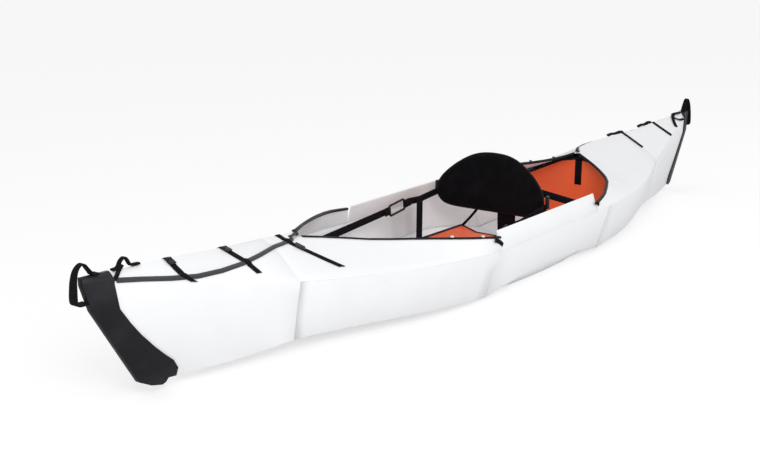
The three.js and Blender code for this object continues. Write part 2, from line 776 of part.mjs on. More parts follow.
function addHandles() {
  for (const end of [BOW, STERN]) {
    const lift = (z) => (z > 1 ? 1 + (z - 1) * handleRise[end] : z);
    const front = capLines(end)[2];
    const low = front.findIndex((p, i) => i > 0 && p.z <= handleFoot * tipHeight);
    const [a, b] = [front[low - 1], front[low]];
    const foot = vec(mix(a.x, b.x, (a.z - handleFoot * tipHeight) / (a.z - b.z)) + end * seatGap, 0,
      handleFoot * tipHeight);
    const tops = handleTops.map((share) => vec(end * share * halfLength, 0, tipHeight + capOut + seatGap));
    const bends = handleShares.map(([x, z]) => vec(end * x * halfLength, 0, lift(z) * tipHeight));
    const path = [...pointsOf(smooth([foot, ...bends, tops[0]]), handleSteps), tops[1]];
    const loop = ribbon(path, outwardUps(path, end), handleWidth, handleWall);
    add(end === BOW ? 'bow_handle' : 'stern_handle', loop, materials.webbing);
  }
}

// A line's point at a place along the boat
function pointAtX(line, x) {
  const found = line.findIndex((p) => Math.abs(p.x) >= Math.abs(x));
  const high = Math.max(found < 0 ? line.length - 1 : found, 1);
  const [a, b] = [line[high - 1], line[high]];
  return between(a, b, (x - a.x) / (b.x - a.x));
}

// The deck's lines from rim to stem: 0 is the far gunwale, 1 the ridge, 2 the seam, 3 the near gunwale
function deckRun(end) {
  const deck = flankDeck(end);
  const side = seamSide[end];
  const run = (line, key, where) => line.concat(endLine(key, where, end).slice(1));
  return [
    run(deck.far, 'gunwale', -side), run(deck.ridge, 'ridge', side),
    run(deck.nearUpper, 'seam', side), run(deck.near, 'gunwale', side),
  ];
}

function deckPoint(run, x, across) {
  const k = Math.min(Math.floor(across), run.length - 2);
  return between(pointAtX(run[k], x), pointAtX(run[k + 1], x), across - k);
}

function deckNormal(run, x, across) {
  const onLine = Number.isInteger(across) && across > 0 && across < 3;
  const cells = onLine ? [across - 1, across] : [Math.min(Math.floor(across), 2)];
  const sum = vec(0, 0, 0);
  for (const k of cells) {
    const here = pointAtX(run[k], x);
    const along = pointAtX(run[k], x + Math.sign(x) * rimFlat).sub(here);
    const normal = along.cross(pointAtX(run[k + 1], x).sub(here)).normalize();
    sum.add(normal.dot(here.clone().sub(vec(x, 0, 0))) < 0 ? normal.negate() : normal);
  }
  return sum.normalize();
}

const seamTop = channelSlack + trimWall + channelCrown + strapLift;
const deckPlaces = { ridge: 1, seam: 2, gunwale: 3 };

// Webbing laid over a deck, as rows of [place across the deck, share of the half length]
function deckStrap(end, rows, { width = deckStrapWidth, rise = 0, wall = strapWall } = {}) {
  const run = deckRun(end);
  const stops = [...rows].sort((a, b) => a[0] - b[0]);
  const xAt = (across) => {
    const high = Math.max(stops.findIndex((row) => row[0] >= across), 1);
    const [a, b] = [stops[high - 1], stops[high]];
    return end * halfLength * mix(a[1], b[1], (across - a[0]) / (b[0] - a[0]));
  };
  const places = [];
  const put = (across, lift) => {
    if (across >= stops[0][0] && across <= stops[stops.length - 1][0]) {
      places.push([across, lift]);
    }
  };
  const seamX = xAt(deckPlaces.seam);
  const seam = pointAtX(run[deckPlaces.seam], seamX);
  const toLine = (place) => seam.distanceTo(pointAtX(run[place], seamX));
  const inner = toLine(deckPlaces.ridge);
  const outer = toLine(deckPlaces.gunwale);
  const near = channelWidth * seamNear;
  const clear = channelWidth * seamClear;
  const [from, to] = [stops[0][0], stops[stops.length - 1][0]];
  const crosses = from < deckPlaces.seam && to > deckPlaces.seam;
  const extra = evenly(from, to, Math.ceil((to - from) / strapStep)).slice(1, -1).map((across) => [across]);
  for (const [across] of stops.concat(extra)) {
    if (!crosses || across < deckPlaces.seam - clear / inner || across > deckPlaces.seam + clear / outer) {
      put(across, strapLift);
    }
  }
  if (crosses) {
    put(deckPlaces.seam - clear / inner, strapLift);
    put(deckPlaces.seam - near / inner, seamTop - channelCrown);
    put(deckPlaces.seam, seamTop);
    put(deckPlaces.seam + near / outer, seamTop - channelCrown);
    put(Math.min(deckPlaces.seam + clear / outer, deckPlaces.gunwale), strapLift);
  }
  places.sort((a, b) => a[0] - b[0]);
  const rings = places.map(([across, lift]) => {
    const x = xAt(across);
    const normal = deckNormal(run, x, across);
    const [a, b] = [-1, 1].map((way) => deckPoint(run, x + way * width / 2, across));
    const low = (p) => p.clone().addScaledVector(normal, lift + rise);
    const high = (p) => p.clone().addScaledVector(normal, lift + rise + wall);
    return [low(a), low(b), high(b), high(a)];
  });
  return loft(rings, [[0, 0], [width, 0], [width, wall], [0, wall]]);
}

const deckStraps = {
  bow_deck_strap_front: [BOW, [[0.3, 0.86], [1, 0.849], [2, 0.847], [3, 0.832]]],
  bow_deck_strap_rear: [BOW, [[0.5, 0.747], [1, 0.7375], [2, 0.7305], [2.6, 0.715]]],
  cockpit_strap: [BOW, [[0.25, 0.555], [1, 0.612], [2, 0.608], [2.75, 0.555]]],
  stern_deck_strap_front: [STERN, [[0.46, 0.643], [1, 0.6225], [2, 0.596], [2.35, 0.583]]],
  stern_deck_strap_rear: [STERN, [[0.03, 0.82], [1, 0.793], [2, 0.77], [2.6, 0.762]]],
};

function addDeckStraps() {
  for (const [name, [end, rows]] of Object.entries(deckStraps)) {
    add(name, deckStrap(end, rows), materials.webbing);
  }
}

// Where each buckle lies on its deck strap, across the deck
const buckleRows = {
  bow_buckle_front: ['bow_deck_strap_front', 1.1, 1.45],
  bow_buckle_rear: ['bow_deck_strap_rear', 1.1, 1.4],
  cockpit_buckle: ['cockpit_strap', 2.12, 2.28],
};

function addStrapBuckles() {
  for (const [name, [strap, from, to]] of Object.entries(buckleRows)) {
    const [end, rows] = deckStraps[strap];
    const high = Math.max(rows.findIndex((row) => row[0] >= to), 1);
    const [a, b] = [rows[high - 1], rows[high]];
    const share = (across) => mix(a[1], b[1], (across - a[0]) / (b[0] - a[0]));
    add(name, deckStrap(end, [[from, share(from)], [to, share(to)]], {
      width: buckleWidth, rise: strapWall + seatGap, wall: buckleWall,
    }), materials.buckle);
  }
}

// The bow's tie lies along the ridge with a raised knot, as shares of the half length and tip height
const bowTieShares = [
  [0.948, 0], [0.941, 0.002], [0.936, 0.018], [0.933, 0.045], [0.929, 0.064], [0.925, 0.064], [0.922, 0.045],
  [0.919, 0.018], [0.915, 0.002], [0.908, 0], [0.9, 0],
];
// The stern's tie runs along the ridge and then hangs down the port side of the deck
// Each row is a place across the deck, a share of the half length and a share of the strap's lift
const sternTieRows = [
  [1, 0.96, 1], [1, 0.94, 1], [1, 0.918, 1.6], [0.85, 0.903, 3], [0.5, 0.89, 2], [0.1, 0.879, 2],
];

function addTies() {
  const ridge = deckRun(BOW)[1];
  const bowPath = pointsOf(smooth(bowTieShares.map(([x, rise]) => (
    pointAtX(ridge, -x * halfLength).add(vec(0, 0, rise * tipHeight + strapLift))))), tieSteps);
  add('bow_tie_cord', ribbon(bowPath, outwardUps(bowPath, BOW), tieWidth, tieWall), materials.webbing);
  const run = deckRun(STERN);
  const sternPath = sternTieRows.map(([across, x, lift]) => {
    const normal = deckNormal(run, x * halfLength, across);
    return deckPoint(run, x * halfLength, across).addScaledVector(normal, strapLift * lift);
  });
  const ups = sternTieRows.map(([across, x]) => deckNormal(run, x * halfLength, across));
  add('stern_tie_strap', ribbon(sternPath, ups, sternTieWidth, tieWall), materials.webbing);
}

// A point inside the hull on a side panel's inner face, by its share of the way from chine to gunwale
function innerSide(x, share, side, gap) {
  const at = (place) => between(creaseAt('chine', place, side), creaseAt('gunwale', place, side), share);
  const here = at(x);
  const rise = creaseAt('gunwale', x, side).sub(creaseAt('chine', x, side));
  const normal = at(x + rimFlat).sub(here).cross(rise).normalize();
  if (normal.y * side > 0) {
    normal.negate();
  }
  return { point: here.addScaledVector(normal, sheetWall + gap), normal };
}

function creaseAt(key, x, side) {
  if (Math.abs(x) <= foldMid) {
    return atX(midCurve(key, side), x);
  }
  return atX(flankCurve(key, side, Math.sign(x)), x);
}

// The folded seat board: a flat middle with its two sides turned up, on two risers
const seatLine = (y, z) => evenly(seatRear - seatLength, seatRear, 4).map((x) => vec(x, y, z));

function addSeat() {
  const half = seatFlatHalf;
  const edge = seatHeight + seatLip;
  add('seat_board', sheet([
    seatLine(-seatHalfWidth, edge), seatLine(-half, seatHeight + sheetWall),
    seatLine(half, seatHeight + sheetWall), seatLine(seatHalfWidth, edge),
  ], 1, { edges: [foldBevel, foldBevel] }), materials.orange);
  const foot = sheetWall + seatGap * 2 + strapWall;
  const line = (side, z) => evenly(seatRear - seatLength + riserInset, seatRear - riserInset, 1)
    .map((x) => vec(x, side * half * riserShare, z));
  const head = seatHeight - seatGap;
  add('seat_riser', sheet([
    line(PORT, head), line(PORT, foot), line(STARBOARD, foot), line(STARBOARD, head),
  ], -1, { edges: [0, 0], insets: [0, 0], ends: [0, 0] }), materials.orange);
}

// The backrest's outline as [y, z] from the middle of its top edge round the starboard side
const backrestRight = [
  [0.27, 0.975], [0.5, 0.885], [0.74, 0.715], [0.92, 0.52], [0.985, 0.34], [0.96, 0.17], [0.86, 0.06],
  [0.68, 0.015], [0.36, 0],
];
const backrestLeft = backrestRight.map(([y, z]) => [-y, z]).reverse();
const backrestOutline = [[0, 1], ...backrestRight, [0, 0], ...backrestLeft];

function outlinePoints(shrink) {
  const curve = new THREE.CatmullRomCurve3(backrestOutline.map(([y, z]) => (
    vec(0, y * backrestHalf, backrestFoot + z * backrestHeight))), true, 'catmullrom', 0.5);
  const centre = vec(0, 0, backrestFoot + backrestHeight * backrestMiddle);
  return curve.getSpacedPoints(Math.round(outlineSteps)).slice(1).map((p) => between(centre, p, shrink));
}

// A curved slab from rings that share one outline: each ring is [outline share, distance forward]
function curvedSlab(rings) {
  const bend = (p, forward) => (
    vec(backrestX - forward - backrestSweep * (p.y / backrestHalf) ** 2, p.y, p.z));
  const points = rings.flatMap(([shrink, forward]) => outlinePoints(shrink).map((p) => bend(p, forward)));
  const size = points.length / rings.length;
  const faces = [];
  for (let i = 0; i < rings.length - 1; i += 1) {
    for (let j = 0; j < size; j += 1) {
      const a = i * size + j;
      const b = i * size + ((j + 1) % size);
      faces.push([a, b, b + size], [a, b + size, a + size]);
    }
  }
  const centre = vec(0, 0, backrestFoot + backrestHeight * backrestMiddle);
  const first = points.push(bend(centre, rings[0][1])) - 1;
  const last = points.push(bend(centre, rings[rings.length - 1][1])) - 1;
  const end = (rings.length - 1) * size;
  for (let j = 0; j < size; j += 1) {
    const next = (j + 1) % size;
    faces.push([first, next, j], [last, end + j, end + next]);
  }
  return closedGeometry(points, faces);
}

// The pad's rounded edge and the flat board behind it, as [outline share, share of the wall]
const padRings = [
  [0.35, 0], [0.7, 0], [boardShare, 0], [0.98, 0.01], [1, 0.2], [1, 0.4], [0.97, 0.58], [0.9, 0.86],
  [0.75, 1], [0.4, 1],
];
const boardRings = [[0.35, 0], [0.7, 0], [boardShare, 0], [boardShare, 1], [0.7, 1], [0.35, 1]];

function addBackrest() {
  add('backrest_pad', curvedSlab(padRings.map(([share, deep]) => [share, deep * padWall])), materials.foam);
  add('backrest_board', curvedSlab(boardRings.map(([share, deep]) => [share, -seatGap - deep * boardWall])),
    materials.buckle);
}

// Webbing along a path in which only the plan view bends, its face stays upright but at the given starts
function uprightStrap(path, way, width, firstUps = []) {
  const ups = path.map((p, i) => {
    const along = path[Math.min(i + 1, path.length - 1)].clone().sub(path[Math.max(i - 1, 0)]);
    return firstUps[i] ?? vec(0, 0, way).cross(along).normalize();
  });
  const line = [];
  const turns = [];
  path.slice(0, -1).forEach((p, i) => {
    const steps = Math.ceil(p.distanceTo(path[i + 1]) / strapSplit);
    for (let k = 0; k < steps; k += 1) {
      line.push(between(p, path[i + 1], k / steps));
      turns.push(ups[i].clone().lerp(ups[i + 1], k / steps).normalize());
    }
  });
  return ribbon([...line, path.at(-1)], [...turns, ups.at(-1)], width);
}

// A flat rectangular ring, with its long sides along and its short sides down
function ringFrame(middle, along, down, [length, height], bar) {
  const out = along.clone().cross(down).normalize();
  const corner = (a, b, inset, side) => middle.clone()
    .addScaledVector(along, a * (length / 2 - inset))
    .addScaledVector(down, b * (height / 2 - inset))
    .addScaledVector(out, side * bar / 2);
  const points = [[1, 1], [-1, 1], [-1, -1], [1, -1]].flatMap(([a, b]) => (
    [[0, -1], [bar, -1], [bar, 1], [0, 1]].map(([inset, side]) => corner(a, b, inset, side))));
  const faces = [];
  for (let i = 0; i < 4; i += 1) {
    const next = (i + 1) % 4;
    for (let j = 0; j < 4; j += 1) {
      const [a, b] = [i * 4 + j, i * 4 + ((j + 1) % 4)];
      const [c, d] = [next * 4 + j, next * 4 + ((j + 1) % 4)];
      faces.push([a, b, d], [a, d, c]);
    }
  }
  return closedGeometry(points, faces);
}

const toSide = (side, [x, y, z]) => vec(x * halfLength, side * y * halfBeam, z * tipHeight);
const strapPlace = (side, key) => toSide(side, strapPoints[key]).add(vec(0, 0, -ringDrop[side] * tipHeight));

// The path around a buckle's end bar, from its hull side to its inner side
function aroundBar(bar, along, side, way) {
  const out = vec(0, 0, 1).cross(along).normalize();
  if (out.y * side < 0) {
    out.negate();
  }
  const centre = bar.clone().addScaledVector(along, -way * ringBar / 2);
  const reach = ringBar / 2 + seatGap * 2;
  const at = (a, b) => centre.clone().addScaledVector(out, a).addScaledVector(along, b * way);
  return [at(reach, ringTail), at(reach, -reach), at(-reach, -reach), at(-reach, ringTail)];
}

// A side strap: from the backrest's wing to the buckle, and from there to the hull's inner wall
function addSideStraps() {
  for (const side of [PORT, STARBOARD]) {
    const name = side === PORT ? 'port' : 'starboard';
    const wing = toSide(side, strapPoints.wing);
    wing.y = side * (backrestHalf + seatGap);
    const [bend, back, front] = ['bend', 'ringBack', 'ringFront'].map((key) => strapPlace(side, key));
    const [x, share] = strapPoints.anchor;
    const gap = seatGap * 4 + strapWall;
    const anchor = innerSide(x * halfLength, share, side, gap);
    const before = innerSide(x * halfLength + anchorLength, share + anchorSlope, side, gap);
    const along = front.clone().sub(back).normalize();
    const down = vec(0, 0, -1).addScaledVector(along, along.z).normalize();
    add(`strap_buckle_${name}`, ringFrame(
      between(back, front, 1 / 2), along, down, [front.distanceTo(back), ringHeight], ringBar,
    ), materials.buckle);
    const rear = [wing, bend, ...aroundBar(back, along, side, -1)];
    const fore = [anchor.point, before.point, ...aroundBar(front, along, side, 1)];
    const wallUps = [anchor.normal.clone().negate(), before.normal.clone().negate()];
    add(`side_strap_${name}_rear`, uprightStrap(rear, -side, sideStrapWidth), materials.webbing);
    add(`side_strap_${name}_front`, uprightStrap(fore, side, sideStrapWidth, wallUps), materials.webbing);
    add(`rear_strap_${name}`, rearStrap(side), materials.webbing);
  }
  add('seat_girth_strap', girthStrap(), materials.webbing);
}

// A strap from one side strap down, over the floor under the seat, and up to the other side strap
function girthStrap() {
  const [left, right] = [PORT, STARBOARD].map((side) => strapPlace(side, 'bend'));
  const y = right.y - seatGap * 2;
  const floor = sheetWall + seatGap;
  const path = [
    vec(left.x, -y, left.z + sideStrapWidth / 2), vec(left.x, -y, floor),
    vec(right.x, y, floor), vec(right.x, y, right.z + sideStrapWidth / 2),
  ];
  const lean = vec(0, 1, 1);
  return ribbon(path, [vec(0, 1, 0), lean, vec(0, -1, 1), vec(0, -1, 0)], girthStrapWidth);
}

// A strap from the wall beside the seat to the back of the backrest, where its end lies on the board
function rearStrap(side) {
  const [x, , z] = strapPoints.rearAnchor;
  const y = halfBeam - wallLean - sheetWall - seatGap * 2 - strapWall;
  const end = vec(x * halfLength, side * y, z * tipHeight);
  const [outer, inner] = boardEnds.map((place) => vec(
    backrestX + boardWall + strapWall + seatGap * 3 - backrestSweep * place ** 2,
    side * place * backrestHalf, boardHold * tipHeight,
  ));
  const path = [
    end.clone().add(vec(anchorLength / 2, 0, 0)), end,
    end.clone().add(vec(-anchorLength / 2, -side * strapWall, 0)), outer, inner,
  ];
  return uprightStrap(path, -side, sideStrapWidth);
}

// A wide webbing plate from the back of the backrest down to the seat board
function addBackrestWebbing() {
  const x = backrestX + seatGap * 2 + boardWall;
  const seatTop = seatHeight + sheetWall + seatGap;
  const y = webbingPlace * backrestHalf;
  const path = pointsOf(smooth([
    vec(x, y, backrestFoot + webbingHold), vec(x, y, backrestFoot),
    vec(x + strapWall, y, (backrestFoot + seatTop) / 2),
    vec(x + webbingStep * webbingBend, y, seatTop + webbingStep),
    vec(x + webbingStep / webbingBend, y, seatTop + strapWall),
    vec(seatRear - sheetWall, y, seatTop),
  ]), webbingSteps);
  const ups = path.map((p, i) => {
    const along = path[Math.min(i + 1, path.length - 1)].clone().sub(path[Math.max(i - 1, 0)]);
    return vec(0, 1, 0).cross(along).negate();
  });
  add('backrest_webbing', ribbon(path, ups, webbingWidth, strapWall), materials.webbing);
}

// A thin tether from the seat board's starboard corner up to the back of the backrest
function addTether() {
  const lipShare = tieWidth / (seatHalfWidth - seatFlatHalf);
  const lipTop = mix(seatHeight + seatLip, seatHeight + sheetWall, lipShare);
  const low = vec(seatRear - sheetWall * 2, seatHalfWidth - tieWidth, lipTop + tieWidth * tetherRise);
  const high = vec(backrestX + boardWall, backrestHalf * tetherPlace, backrestFoot + seatLip / 2);
  const sag = between(low, high, nearShare).add(vec(0, 0, -seatLip / 8));
  const path = pointsOf(smooth([low, sag, high]), tetherSteps);
  add('backrest_tether', ribbon(path, [vec(1, 0, 0)], tieWidth, strapWall), materials.webbing);
}

// A flat outline in the YZ plane, pushed in on each edge by its own distance
function insetOutline(points, insets) {
  const count = points.length;
  let area = 0;
  points.forEach(([y, z], i) => {
    const [ny, nz] = points[(i + 1) % count];
    area += y * nz - ny * z;
  });
  const edge = points.map(([y, z], i) => {
    const [ny, nz] = points[(i + 1) % count];
    const length = Math.hypot(ny - y, nz - z);
    const [ey, ez] = [(ny - y) / length, (nz - z) / length];
    const turn = Math.sign(area);
    return { y: y - ez * insets[i] * turn, z: z + ey * insets[i] * turn, ey, ez };
  });
  return edge.map((b, i) => {
    const a = edge[(i + count - 1) % count];
    const t = ((b.y - a.y) * b.ez - (b.z - a.z) * b.ey) / (a.ey * b.ez - a.ez * b.ey);
    return [a.y + a.ey * t, a.z + a.ez * t];
  });
}

function uprightPlate(x, outline, wall) {
  const ring = (place) => outline.map(([y, z]) => vec(place, y, z));
  return loft([ring(x), ring(x + wall)], outline);
}

function addBulkhead() {
  const at = (key) => creaseAt(key, bulkheadX, STARBOARD);
  const ridge = atX(deckCurve(STERN, 'ridge', STARBOARD), bulkheadX);
  const half = ['keel', 'chine', 'gunwale'].map((key) => [at(key).y, at(key).z]);
  const outline = [...half, [0, ridge.z], ...half.map(([y, z]) => [-y, z]).reverse()];
  const side = sheetWall + bulkheadSide;
  const under = sheetWall + bulkheadTop;
  const inset = insetOutline(outline, [side, side, under, under, side, side, sheetWall + seatGap]);
  const [corner, top, otherCorner] = inset.slice(half.length - 1);
  const shoulder = ([y, z]) => [mix(top[0], y, bulkheadShoulder), mix(top[1], z, bulkheadShoulder)];
  const peak = mix(shoulder(corner)[1], top[1], bulkheadPeak);
  inset.splice(half.length, 1, shoulder(corner), [0, peak], shoulder(otherCorner));
  add('rear_bulkhead', uprightPlate(bulkheadX, inset, sheetWall), materials.orange);
  const x = bulkheadX - seatGap;
  add('bulkhead_strap', ribbon(
    [vec(x, 0, peak * bulkheadStrapTop), vec(x, 0, peak * bulkheadStrapFoot)], [vec(-1, 0, 0)],
    bulkheadStrapWidth, strapWall,
  ), materials.webbing);
}

function addFootBrace() {
  const [keel, chine] = ['keel', 'chine'].map((key) => creaseAt(key, braceX, STARBOARD));
  const foot = keel.z + sheetWall + seatGap;
  const out = mix(keel.z, chine.z, (braceHalf - keel.y) / (chine.y - keel.y)) + sheetWall * 2 + seatGap;
  const half = [
    [keel.y * nearShare, foot], [braceHalf, out + sheetWall], [braceHalf, braceHeight * braceShoulder],
    [braceHalf * braceShoulder, braceHeight],
  ];
  const outline = [...half, ...half.map(([y, z]) => [-y, z]).reverse()];
  add('foot_brace', uprightPlate(braceX, outline, sheetWall), materials.orange);
}

addBottom();
addSides();
addDecks();
addWalls();
addTrims();
addSeamChannels();
addCaps();
addHandles();
addDeckStraps();
addStrapBuckles();
addTies();
addSeat();
addBackrest();
addSideStraps();
addBackrestWebbing();
addTether();
addBulkhead();
addFootBrace();

export default kayak;
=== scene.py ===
import math
from collections import namedtuple
from itertools import permutations

import bmesh
import bpy
from mathutils import Matrix, Vector
from mathutils.bvhtree import BVHTree


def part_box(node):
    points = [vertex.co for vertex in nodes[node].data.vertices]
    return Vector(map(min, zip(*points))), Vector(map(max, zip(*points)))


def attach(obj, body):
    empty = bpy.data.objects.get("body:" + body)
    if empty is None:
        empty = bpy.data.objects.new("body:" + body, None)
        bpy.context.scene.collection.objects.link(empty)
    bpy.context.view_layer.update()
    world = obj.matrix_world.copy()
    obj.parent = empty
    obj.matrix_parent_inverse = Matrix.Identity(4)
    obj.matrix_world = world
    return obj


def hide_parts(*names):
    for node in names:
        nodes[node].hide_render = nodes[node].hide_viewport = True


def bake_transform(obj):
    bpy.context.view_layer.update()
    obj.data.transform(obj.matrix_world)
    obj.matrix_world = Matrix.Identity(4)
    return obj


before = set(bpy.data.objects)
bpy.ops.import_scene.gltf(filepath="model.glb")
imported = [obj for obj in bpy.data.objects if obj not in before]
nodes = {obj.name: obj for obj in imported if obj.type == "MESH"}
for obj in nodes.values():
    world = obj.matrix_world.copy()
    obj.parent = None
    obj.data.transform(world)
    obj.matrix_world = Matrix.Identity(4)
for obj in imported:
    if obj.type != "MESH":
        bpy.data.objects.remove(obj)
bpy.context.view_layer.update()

# The camera that took the photograph, found from the hull's creases and its known length.
# The lens is given by its focal length in pixels on the 760 pixel wide picture.
PICTURE_WIDTH = 760
FOCAL_PIXELS = 1198.4
SENSOR_WIDTH = 36
FARTHEST_SEEN = 100
EYE = Vector((-3.6192, -2.2166, 1.1558))
YAW, PITCH, ROLL = (math.radians(angle) for angle in (36.5, -13.8, 0.4))
forward = Vector((math.cos(YAW) * math.cos(PITCH), math.sin(YAW) * math.cos(PITCH), math.sin(PITCH)))
level = forward.cross(Vector((0, 0, 1))).normalized()
upright = level.cross(forward)
right = level * math.cos(ROLL) + upright * math.sin(ROLL)
top = upright * math.cos(ROLL) - level * math.sin(ROLL)
camera = bpy.data.objects.new("camera", bpy.data.cameras.new("camera"))
camera.data.sensor_fit = "HORIZONTAL"
camera.data.sensor_width = SENSOR_WIDTH
camera.data.lens = FOCAL_PIXELS / PICTURE_WIDTH * SENSOR_WIDTH
camera.data.clip_end = FARTHEST_SEEN
turn = Matrix((right, top, -forward)).transposed()
camera.matrix_world = Matrix.Translation(EYE) @ turn.to_4x4()
bpy.context.scene.collection.objects.link(camera)
bpy.context.scene.camera = camera


# The hull is one creased sheet of white twin-wall polypropylene, 5 mm thick.
# Its panels meet at pressed creases, and the ribs inside the sheet show as fine lines along the boat.
WHITE = (0.86, 0.865, 0.88)
SMUDGE = (0.79, 0.79, 0.8)
WHITE_ROUGHNESS = 0.36
RIB_PITCH = 0.0045
RIB_DEPTH = 0.00008
SHEET_ROUND = 0.0003
CREASE_SWELL = 0.0002

# Shares of the marks in the colour and the roughness, and of ribs and grain in the relief
MARK_TINT, MARK_ROUGHER, GRAIN_ROUGHER = 0.35, 0.12, 0.06
RIB_RELIEF, GRAIN_RELIEF = 0.5, 0.25

# How close corners lie that are one, and the least angle of an edge that is rounded
ONE_CORNER = 0.00001
HARD_EDGE = math.radians(28)
EDGE_STEPS = 2

# Sockets of the node that mixes two colours
MIX_SHARE, MIX_FIRST, MIX_SECOND, MIX_RESULT = 0, 6, 7, 2


class Wire:
    """A socket of a material, so that shader sums are written as plain expressions."""

    def __init__(self, tree, socket=None):
        self.tree = tree
        self.socket = socket

    def node(self, kind, settings=None, inputs=None, out=0):
        """One output of a new node, which has these settings and these values or links on its sockets."""
        made = self.tree.nodes.new(kind)
        for name, value in (settings or {}).items():
            setattr(made, name, value)
        for key, value in (inputs or {}).items():
            if isinstance(value, Wire):
                self.tree.links.new(value.socket, made.inputs[key])
            else:
                made.inputs[key].default_value = value
        return Wire(self.tree, made.outputs[out])

    def beside(self, out):
        """Another output of the node that this one comes from."""
        return Wire(self.tree, self.socket.node.outputs[out])

    def math(self, operation, *values):
        return self.node("ShaderNodeMath", {"operation": operation}, dict(enumerate(values)))

    def __add__(self, other):
        return self.math("ADD", self, other)

    __radd__ = __add__

    def __sub__(self, other):
        return self.math("SUBTRACT", self, other)

    def __rsub__(self, other):
        return self.math("SUBTRACT", other, self)

    def __mul__(self, other):
        return self.math("MULTIPLY", self, other)

    __rmul__ = __mul__

    def __abs__(self):
        return self.math("ABSOLUTE", self)

    def wave(self, pitch):
        """A sine wave between -1 and 1 that comes again after each pitch."""
        return self.math("SINE", self * (math.tau / pitch))

    def ramp(self, low, high):
        """0 up to low and 1 from high on, and smooth between them."""
        return self.node("ShaderNodeMapRange", {"interpolation_type": "SMOOTHSTEP"},
                         {"Value": self, "From Min": low, "From Max": high})

    def noise(self, scale, detail=2.0):
        return self.node("ShaderNodeTexNoise", {}, {"Vector": self, "Scale": scale, "Detail": detail})

    def parts(self):
        """The three numbers of a place or a direction."""
        split = self.node("ShaderNodeSeparateXYZ", {}, {"Vector": self})
        return [split.beside(axis) for axis in "XYZ"]


class Finish:
    """A material with one main shader: what varies over it is fed in, the rest is set on the shader."""

    def __init__(self, name, base, roughness, **fixed):
        self.material = bpy.data.materials.new(name)
        self.material.use_nodes = True
        self.tree = self.material.node_tree
        self.shader = self.tree.nodes["Principled BSDF"]
        self.shader.inputs["Base Color"].default_value = (*base, 1)
        self.shader.inputs["Roughness"].default_value = roughness
        for key, value in fixed.items():
            self.shader.inputs[key.replace("_", " ")].default_value = value
        self.place = Wire(self.tree).node("ShaderNodeTexCoord", out="Object")
        self.laid = self.place.beside("UV")

    def feed(self, key, wire):
        """Lets a socket of the main shader follow a wire."""
        self.tree.links.new(wire.socket, self.shader.inputs[key])

    def tint(self, share, first, second):
        """Base colour that goes from first to second."""
        self.feed("Base Color", share.node("ShaderNodeMix", {"data_type": "RGBA"}, {
            MIX_SHARE: share, MIX_FIRST: (*first, 1), MIX_SECOND: (*second, 1)}, out=MIX_RESULT))

    def bump(self, height, depth, strength):
        """Fine relief, as deep as depth where the height is 1."""
        self.feed("Normal", height.node("ShaderNodeBump", {}, {
            "Strength": strength, "Distance": depth, "Height": height}))


def ribbed_sheet(name, base, worn, roughness):
    """Twin-wall sheet with its ribs along the boat, a little marked by handling."""
    finish = Finish(name, base, roughness, Specular_IOR_Level=0.4)
    _, across, up = finish.place.parts()
    *_, facing_up = finish.place.node("ShaderNodeNewGeometry", out="Normal").parts()
    flat = abs(facing_up).ramp(low=0.55, high=0.75)
    ribs = across.wave(RIB_PITCH) * flat + up.wave(RIB_PITCH) * (1 - flat)
    grain = finish.place.noise(scale=420.0)
    marks = finish.place.noise(scale=7.0, detail=5.0).ramp(low=0.5, high=0.78)
    finish.tint(marks * MARK_TINT, base, worn)
    finish.feed("Roughness", marks * MARK_ROUGHER + grain * GRAIN_ROUGHER + roughness)
    finish.bump(ribs * RIB_RELIEF + grain * GRAIN_RELIEF, RIB_DEPTH, strength=0.6)
    return finish.material


def round_edges(piece, radius, steps=EDGE_STEPS):
    """Rounds a piece's edges, and returns the modifier that does so."""
    bevel = piece.modifiers.new("bevel", "BEVEL")
    bevel.width = radius
    bevel.segments = steps
    return bevel


def dress(name, material, rounding, swell=0):
    """A CAD piece keeps its shape and gets its material, its hard edges just broken and the rest smooth.

    Swelling it by a hair closes the creases between the panels of one sheet.
    """
    piece = nodes[name]
    piece.data.polygons.foreach_set("use_smooth", [True] * len(piece.data.polygons))
    piece.data.materials.clear()
    piece.data.materials.append(material)
    weld = piece.modifiers.new("weld", "WELD")
    weld.merge_threshold = ONE_CORNER
    if swell:
        swollen = piece.modifiers.new("swell", "DISPLACE")
        swollen.strength = swell
        swollen.mid_level = 0
    bevel = round_edges(piece, rounding)
    bevel.limit_method = "ANGLE"
    bevel.angle_limit = HARD_EDGE
    bevel.harden_normals = True


white_sheet = ribbed_sheet("white_sheet", WHITE, SMUDGE, WHITE_ROUGHNESS)
for name in nodes:
    if name.startswith(("bottom_panel", "side_panel", "foredeck", "rear_deck", "deck_")):
        dress(name, white_sheet, SHEET_ROUND, CREASE_SWELL)


# The walls beside the seat are flaps of the same white sheet as the hull.
# They are folded upright over the gunwale crease, and the straps behind the backrest hold them there.
for side in ("port", "starboard"):
    dress(f"cockpit_wall_{side}", white_sheet, SHEET_ROUND, CREASE_SWELL)


# The seat board, the riser under it, the rear bulkhead and the foot brace are orange twin-wall sheet.
# The edges of the seat board, the bulkhead and the brace are bound with black tape.
ORANGE = (0.98, 0.125, 0.032)
SCUFFED_ORANGE = (0.85, 0.15, 0.058)
ORANGE_ROUGHNESS = 0.42
SHEET = 0.005
SEAT_FLAT = 0.105
SEAT_TOP = 0.071
CREASE_LEAN_SHARE = 0.5
TAPE_LEG = 0.009
TAPE_WALL = 0.0012
TAPE_SLACK = 0.0003
TAPE_ROUND = 0.0004
TAPE_BLACK = (0.008, 0.0075, 0.01)
TAPE_WEAVE = 0.0013
TAPE_DEPTH = 0.0002
SHARPEST_MITRE = 0.4
PLACE_DIGITS = 5

